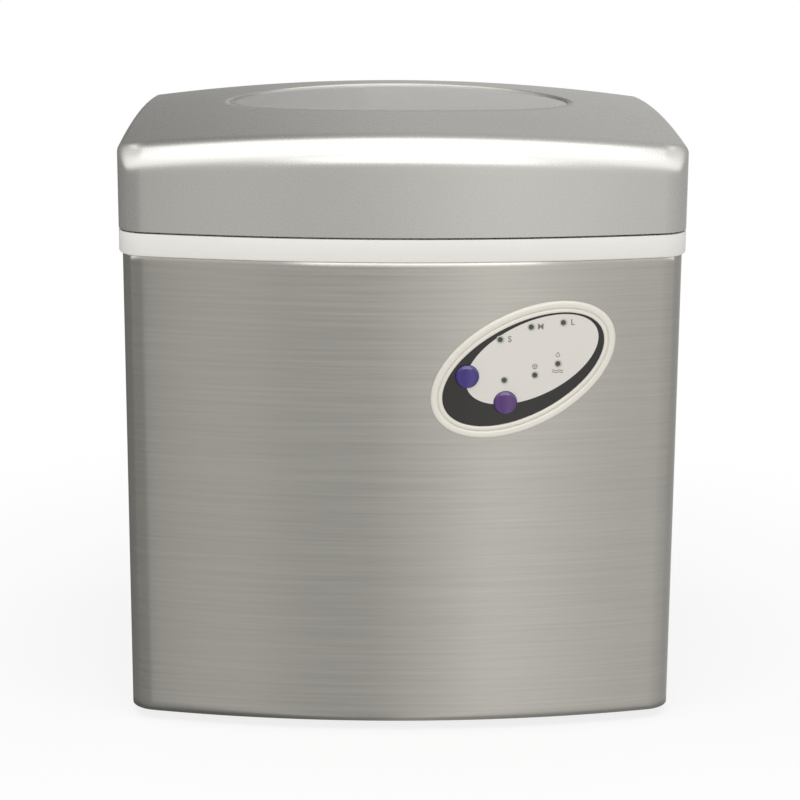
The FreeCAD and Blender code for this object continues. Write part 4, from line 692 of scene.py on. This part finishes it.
def build_brushed(net, given):
    """Two noises drawn out along the sheet make the lines; a third smears the tone."""
    fine = net("TexNoise", {"Vector": scaled(net, (16, 16, 2400)), "Scale": 1.0, "Detail": 3.0})
    broad = net("TexNoise", {"Vector": scaled(net, (8, 8, 620)), "Scale": 1.0, "Detail": 2.0})
    both = net("Math", {0: fine.outputs[0], 1: 0.6, 2: broad.outputs[0]}, operation="MULTIPLY_ADD")
    lines = net("Math", {0: both.outputs[0], 1: 0.625}, operation="MULTIPLY").outputs[0]
    smear = net("TexNoise", {"Vector": scaled(net, (9, 9, 14)), "Scale": 1.0, "Detail": 3.0})
    tone = shaded(net, given["Colour"], given["Streak"], lines)
    tone = shaded(net, tone, 0.05, smear.outputs[0])
    shift = net("Math", {0: lines, 1: -0.5}, operation="ADD").outputs[0]
    rough = net("Math", {0: shift, 1: 0.10, 2: given["Roughness"]}, operation="MULTIPLY_ADD")
    return {"Colour": tone, "Roughness": rough.outputs[0], "Height": lines}


def build_moulded(net, given):
    """A wide mottle over a fine grain."""
    place_on = net("TexCoord").outputs["Object"]
    mottle = net("TexNoise", {"Vector": place_on, "Scale": 14.0, "Detail": 4.0})
    grain = net("TexNoise", {"Vector": place_on, "Scale": given["Grain"], "Detail": 2.0})
    tone = shaded(net, given["Colour"], given["Mottle"], mottle.outputs[0])
    tone = shaded(net, tone, 0.04, grain.outputs[0])
    shift = net("Math", {0: mottle.outputs[0], 1: -0.5}, operation="ADD").outputs[0]
    rough = net("Math", {0: shift, 1: 0.18, 2: given["Roughness"]}, operation="MULTIPLY_ADD")
    return {"Colour": tone, "Roughness": rough.outputs[0], "Height": grain.outputs[0]}


def build_flake(net, given):
    """Small cells of slightly different brightness under a faint cloud."""
    place_on = net("TexCoord").outputs["Object"]
    flake = net("TexVoronoi", {"Vector": place_on, "Scale": 2600.0})
    sparkle = net("SeparateColor", {0: flake.outputs["Color"]}).outputs[0]
    cloud = net("TexNoise", {"Vector": place_on, "Scale": 11.0, "Detail": 3.0}).outputs[0]
    tone = shaded(net, given["Colour"], 0.03, sparkle)
    tone = shaded(net, tone, 0.05, cloud)
    shift = net("Math", {0: sparkle, 1: -0.5}, operation="ADD").outputs[0]
    rough = net("Math", {0: shift, 1: 0.03, 2: given["Roughness"]}, operation="MULTIPLY_ADD")
    return {"Colour": tone, "Roughness": rough.outputs[0], "Height": sparkle}


BASE = [("Colour", "Color", (0.5, 0.5, 0.5, 1.0)), ("Roughness", "Float", 0.4)]
EFFECTS = {
    "brushed": effect("brushed steel lines", BASE + [("Streak", "Float", 0.24)], SURFACE,
                      build_brushed),
    "moulded": effect("moulded grain", BASE + [("Grain", "Float", 900.0),
                                               ("Mottle", "Float", 0.06)], SURFACE,
                      build_moulded),
    "flake": effect("metal flake paint", BASE, SURFACE, build_flake)}


def make_finish(name, kind, colour, roughness, bump=0.1, extra=None, **shader):
    """A material: one effect feeds colour, roughness and bump; the rest is set on the shader."""
    made = bpy.data.materials.new(name)
    made.use_nodes = True
    made.diffuse_color = (*colour, 1.0)
    net = Net(made.node_tree)
    surface = made.node_tree.nodes["Principled BSDF"]
    given = {"Colour": (*colour, 1.0), "Roughness": roughness, **(extra or {})}
    look = made.node_tree.nodes.new("ShaderNodeGroup")
    look.node_tree = EFFECTS[kind]
    for key, value in given.items():
        look.inputs[key].default_value = value
    raised = net("Bump", {"Height": look.outputs["Height"], "Strength": bump,
                          "Distance": 0.0001})
    link = made.node_tree.links.new
    link(look.outputs["Colour"], surface.inputs["Base Color"])
    link(look.outputs["Roughness"], surface.inputs["Roughness"])
    link(raised.outputs["Normal"], surface.inputs["Normal"])
    for key, value in shader.items():
        surface.inputs[key.replace("_", " ")].default_value = value
    if kind == "brushed":
        turned_round = net("Tangent", direction_type="RADIAL", axis="Z")
        link(turned_round.outputs[0], surface.inputs["Tangent"])
    return made


def metal(name, colour, roughness, **more):
    """A bare metal with a fine grain."""
    return make_finish(name, "moulded", colour, roughness, Metallic=1.0,
                       extra={"Grain": 500.0, "Mottle": 0.12}, **more)


def plastic(name, colour, roughness, bump=0.12, grain=900.0, **more):
    """A moulded plastic, rubber or glazing with a fine grain."""
    return make_finish(name, "moulded", colour, roughness, bump, extra={"Grain": grain}, **more)


FINISH = {
    "wrap_steel": make_finish("brushed wrap steel", "brushed", (0.407, 0.395, 0.364), 0.22,
                              0.02, Metallic=1.0, Anisotropic=0.9,
                              Anisotropic_Rotation=0.25),
    "lid_paint": make_finish("silver lid paint", "flake", (0.505, 0.492, 0.468), 0.28, 0.004,
                             Metallic=0.80, Coat_Weight=0.10, Coat_Roughness=0.15),
    "band_white": plastic("white band", (0.79, 0.77, 0.73), 0.38),
    "rear_grey": plastic("grey rear panel", (0.36, 0.36, 0.35), 0.5, 0.25, 600.0),
    "pan_zinc": metal("zinc floor pan", (0.55, 0.56, 0.57), 0.45),
    "foot_rubber": plastic("foot rubber", (0.03, 0.03, 0.03), 0.75, 0.3, 1500.0),
    "screw_steel": metal("screw steel", (0.5, 0.5, 0.48), 0.3),
    "window_clear": plastic("clear lid window", (0.62, 0.61, 0.585), 0.12, 0.005,
                            Transmission_Weight=0.6, IOR=1.49),
    "trim_bright": metal("bright window ring", (0.40, 0.39, 0.37), 0.45),
    "liner_white": plastic("white lid liner", (0.76, 0.76, 0.74), 0.4),
    "tank_white": plastic("white tank", (0.72, 0.73, 0.72), 0.42),
    "foam": plastic("tank foam", (0.62, 0.60, 0.50), 0.9, 0.5, 700.0),
    "basket_clear": plastic("frosted basket", (0.70, 0.74, 0.76), 0.28, 0.05,
                            Transmission_Weight=0.5),
    "sensor_black": plastic("sensor black", (0.02, 0.02, 0.022), 0.3),
    "nickel": metal("nickel fingers", (0.66, 0.63, 0.58), 0.22),
    "copper": metal("copper tube", (0.72, 0.36, 0.22), 0.28),
    "tray_grey": plastic("grey water tray", (0.45, 0.47, 0.49), 0.4),
    "bezel_cream": plastic("cream bezel", (0.74, 0.705, 0.63), 0.24, 0.03, Coat_Weight=0.35,
                           Coat_Roughness=0.12),
    "panel_black": plastic("black panel plate", (0.012, 0.011, 0.009), 0.20, 0.02),
    "face_cream": plastic("cream panel face", (0.69, 0.66, 0.61), 0.34, 0.04),
    "led_dark": plastic("dark lamp lens", (0.07, 0.06, 0.055), 0.25, 0.02),
    "button_violet": plastic("violet key", (0.030, 0.012, 0.17), 0.10, 0.01, Coat_Weight=0.5,
                             Coat_Roughness=0.04),
    "board_green": plastic("circuit board", (0.03, 0.18, 0.07), 0.35),
    "compressor_black": plastic("compressor enamel", (0.025, 0.025, 0.027), 0.32, 0.3, 260.0),
    "fin_aluminium": metal("fin aluminium", (0.74, 0.75, 0.76), 0.32),
    "fan_black": plastic("fan black", (0.03, 0.03, 0.032), 0.45),
    "brass": metal("valve brass", (0.68, 0.50, 0.22), 0.3),
    "hose_clear": plastic("silicone hose", (0.74, 0.73, 0.70), 0.35, 0.05,
                          Transmission_Weight=0.35),
    "core_steel": metal("motor core steel", (0.36, 0.35, 0.34), 0.4)}
# The select key is the same violet plastic as the power key. Its redder purple colour is a painted
# reflection that stands in for the purple sheen on its rim.
KEY_WITH_PAINTED_REFLECTION = plastic("violet key with painted purple reflection", (0.070, 0.020, 0.15), 0.14, 0.01, Coat_Weight=0.5,
                     Coat_Roughness=0.05)
RING_GREY = plastic("pale lamp ring", (0.46, 0.48, 0.43), 0.35, 0.02)
MARK_BROWN = plastic("printed marks", (0.20, 0.17, 0.15), 0.5, 0.02)

for part in RECORD["subparts"]:
    for material_slot in frame["nodes"][part["node"]].material_slots:
        material_slot.material = FINISH[part["material_slot"]]

lid_skin(FINISH["lid_paint"])
lid_window(FINISH["window_clear"], FINISH["trim_bright"])
steel_wrap(FINISH["wrap_steel"])
top_frame(FINISH["band_white"])
bezel(FINISH["bezel_cream"])
button("power_button", "power_key", FINISH["button_violet"])
# The select key takes the violet copy with the painted purple reflection.
button("select_button", "select_key", KEY_WITH_PAINTED_REFLECTION)
led_rings(RING_GREY)
pictograms(MARK_BROWN)
size_letters(MARK_BROWN)


# --- Camera, light and floor --------------------------------------------------------------
LENS = 105.72
SENSOR = 36.0
CAMERA_PLACE = (-0.0323, -1.780, 0.6517)
CAMERA_BEARING = -1.07
CAMERA_DIP = 14.05
CAMERA_ROLL = 0.33
FLOOR_HALF = 3.0

# Brightness that the casing mirrors, by the compass bearing of the studio wall: degrees from
# straight ahead of the front, towards +X, then the wall's brightness.
WALL = ((-180, 0.46), (-175, 0.30), (-169, 0.17), (-118, 0.33), (-78, 0.38), (-47, 0.43),
        (-36, 0.56), (-32, 0.64), (-29, 0.74), (-25, 0.77), (-19, 0.77), (-12.6, 0.66),
        (-9, 0.63), (-2.5, 0.64), (1.3, 0.77), (5, 0.86), (8.2, 0.96), (11.7, 1.10),
        (15.2, 1.11), (22, 1.03), (29, 0.92), (33, 0.88), (45, 0.82), (90, 0.66),
        (132, 0.56), (165, 0.56), (180, 0.50))
# The same by the climb from straight ahead (0) over the top (0.5) to straight behind (1).
CANOPY = ((0.0, 0.0), (0.10, 0.0), (0.21, 1.0), (0.40, 1.0), (0.50, 0.45), (0.62, 0.14),
          (0.70, 0.0), (1.0, 0.0))
CANOPY_LEVEL = 2.0
AMBIENT = (0.62, 0.62, 0.62, 1.0)
OVERHEAD_WATTS = 14.0
FRONT_WATTS = 12.0
FLOOR_SHADE = 0.22
WHITE = (1.0, 1.0, 1.0, 1.0)


def camera():
    """A long lens in front, a little above the lid, turned slightly to the right."""
    data = bpy.data.cameras.new("view")
    data.lens = LENS
    data.sensor_width = SENSOR
    data.clip_start = 0.05
    data.clip_end = 50.0
    made = bpy.data.objects.new("view", data)
    turn = (Matrix.Rotation(math.radians(CAMERA_BEARING), 4, "Z")
            @ Matrix.Rotation(math.radians(90 - CAMERA_DIP), 4, "X")
            @ Matrix.Rotation(math.radians(CAMERA_ROLL), 4, "Z"))
    made.matrix_world = Matrix.Translation(CAMERA_PLACE) @ turn
    bpy.context.scene.collection.objects.link(made)
    bpy.context.scene.camera = made


def card(name, middle, aim, size, watts):
    """A soft rectangular lamp that faces a point."""
    data = bpy.data.lights.new(name, "AREA")
    data.shape = "RECTANGLE"
    data.size, data.size_y = size
    data.energy = watts
    made = bpy.data.objects.new(name, data)
    made.location = middle
    made.rotation_euler = (Vector(aim) - Vector(middle)).to_track_quat("-Z", "Y").to_euler()
    bpy.context.scene.collection.objects.link(made)


def mix_colour(net, factor, a, b):
    """The blend of two colours."""
    made = net("Mix", data_type="RGBA")
    for name, value in (("Factor_Float", factor), ("A_Color", a), ("B_Color", b)):
        socket = next(s for s in made.inputs if s.identifier == name)
        if isinstance(value, bpy.types.NodeSocket):
            net.tree.links.new(value, socket)
        else:
            socket.default_value = value
    return next(s for s in made.outputs if s.identifier == "Result_Color")


def spread(ramp, levels):
    """Puts a ramp's stops at these (share, brightness) pairs, a shade warmer than grey."""
    stops = ramp.elements
    stops[1].position = 1.0
    for number, (share, level) in enumerate(levels):
        ends = {0: 0, len(levels) - 1: -1}
        stop = stops[ends[number]] if number in ends else stops.new(share)
        stop.position = share
        stop.color = (level, level * 0.995, level * 0.98, 1.0)


def studio():
    """White to the camera and through glass, an even glow on matt faces, and walls that differ
    by bearing in what the metal mirrors."""
    world = bpy.data.worlds.new("studio")
    bpy.context.scene.world = world
    world.use_nodes = True
    world.cycles.sampling_method = "NONE"
    world.node_tree.nodes.clear()
    net = Net(world.node_tree)
    parts = net("SeparateXYZ", {0: net("TexCoord").outputs["Generated"]}).outputs
    ahead = net("Math", {0: parts["Y"], 1: -1.0}, operation="MULTIPLY").outputs[0]
    bearing = net("Math", {0: parts["X"], 1: ahead}, operation="ARCTAN2").outputs[0]
    share = net("MapRange", {0: bearing, 1: -math.pi, 2: math.pi}).outputs[0]
    ramp = net("ValToRGB", {0: share})
    spread(ramp.color_ramp, [((degrees + 180) / 360, level) for degrees, level in WALL])
    tilt = net("Math", {0: parts["Z"], 1: ahead}, operation="ARCTAN2").outputs[0]
    climb = net("MapRange", {0: tilt, 1: 0.0, 2: math.pi}).outputs[0]
    canopy = net("ValToRGB", {0: climb})
    spread(canopy.color_ramp, CANOPY)
    mirrored = mix_colour(net, canopy.outputs[0], ramp.outputs[0], (CANOPY_LEVEL,) * 3 + (1.0,))
    ray = net("LightPath").outputs
    seen = net("Math", {0: ray["Is Camera Ray"], 1: ray["Is Transmission Ray"]},
               operation="MAXIMUM").outputs[0]
    lit = mix_colour(net, ray["Is Glossy Ray"], AMBIENT, mirrored)
    glow = net("Background", {"Color": mix_colour(net, seen, lit, WHITE), "Strength": 1.0})
    net("OutputWorld", {"Surface": glow.outputs[0]})
    card("overhead", (0.0, -0.35, 1.75), (0.0, -0.05, 0.4), (1.7, 1.5), OVERHEAD_WATTS)
    card("front", (0.15, -2.6, 1.35), (0.0, 0.0, 0.35), (1.6, 1.0), FRONT_WATTS)


def floor():
    """White worktop: it shows white, keeps a part of the object's shadow near its middle, and
    lets the metal mirror the studio walls."""
    across = np.array([-FLOOR_HALF, FLOOR_HALF])
    x, y = np.meshgrid(across, across)
    mesh = bpy.data.meshes.new("floor")
    mesh.from_pydata(np.stack((x, y, np.zeros((2, 2))), -1).reshape(-1, 3).tolist(), [],
                     [(0, 1, 3, 2)])
    made = bpy.data.objects.new("floor", mesh)
    bpy.context.scene.collection.objects.link(made)
    paint = bpy.data.materials.new("floor white")
    paint.use_nodes = True
    paint.node_tree.nodes.clear()
    net = Net(paint.node_tree)
    place_on = net("TexCoord").outputs["Object"]
    away = net("VectorMath", {0: place_on}, operation="LENGTH").outputs["Value"]
    near = net("MapRange", {0: away, 1: 0.25, 2: 0.75, 3: FLOOR_SHADE, 4: 0.0},
               interpolation_type="SMOOTHSTEP").outputs[0]
    matt = net("BsdfDiffuse", {"Color": (0.9, 0.9, 0.9, 1.0)}).outputs[0]
    white = net("Emission", {"Color": WHITE, "Strength": 1.0}).outputs[0]
    clear = net("BsdfTransparent").outputs[0]
    ray = net("LightPath").outputs
    shown = net("MixShader", {0: near, 1: white, 2: matt}).outputs[0]
    solid = net("MixShader", {0: ray["Is Camera Ray"], 1: matt, 2: shown}).outputs[0]
    look = net("MixShader", {0: ray["Is Glossy Ray"], 1: solid, 2: clear}).outputs[0]
    net("OutputMaterial", {"Surface": look})
    mesh.materials.append(paint)


camera()
studio()
floor()
bpy.context.scene.view_settings.view_transform = "Standard"
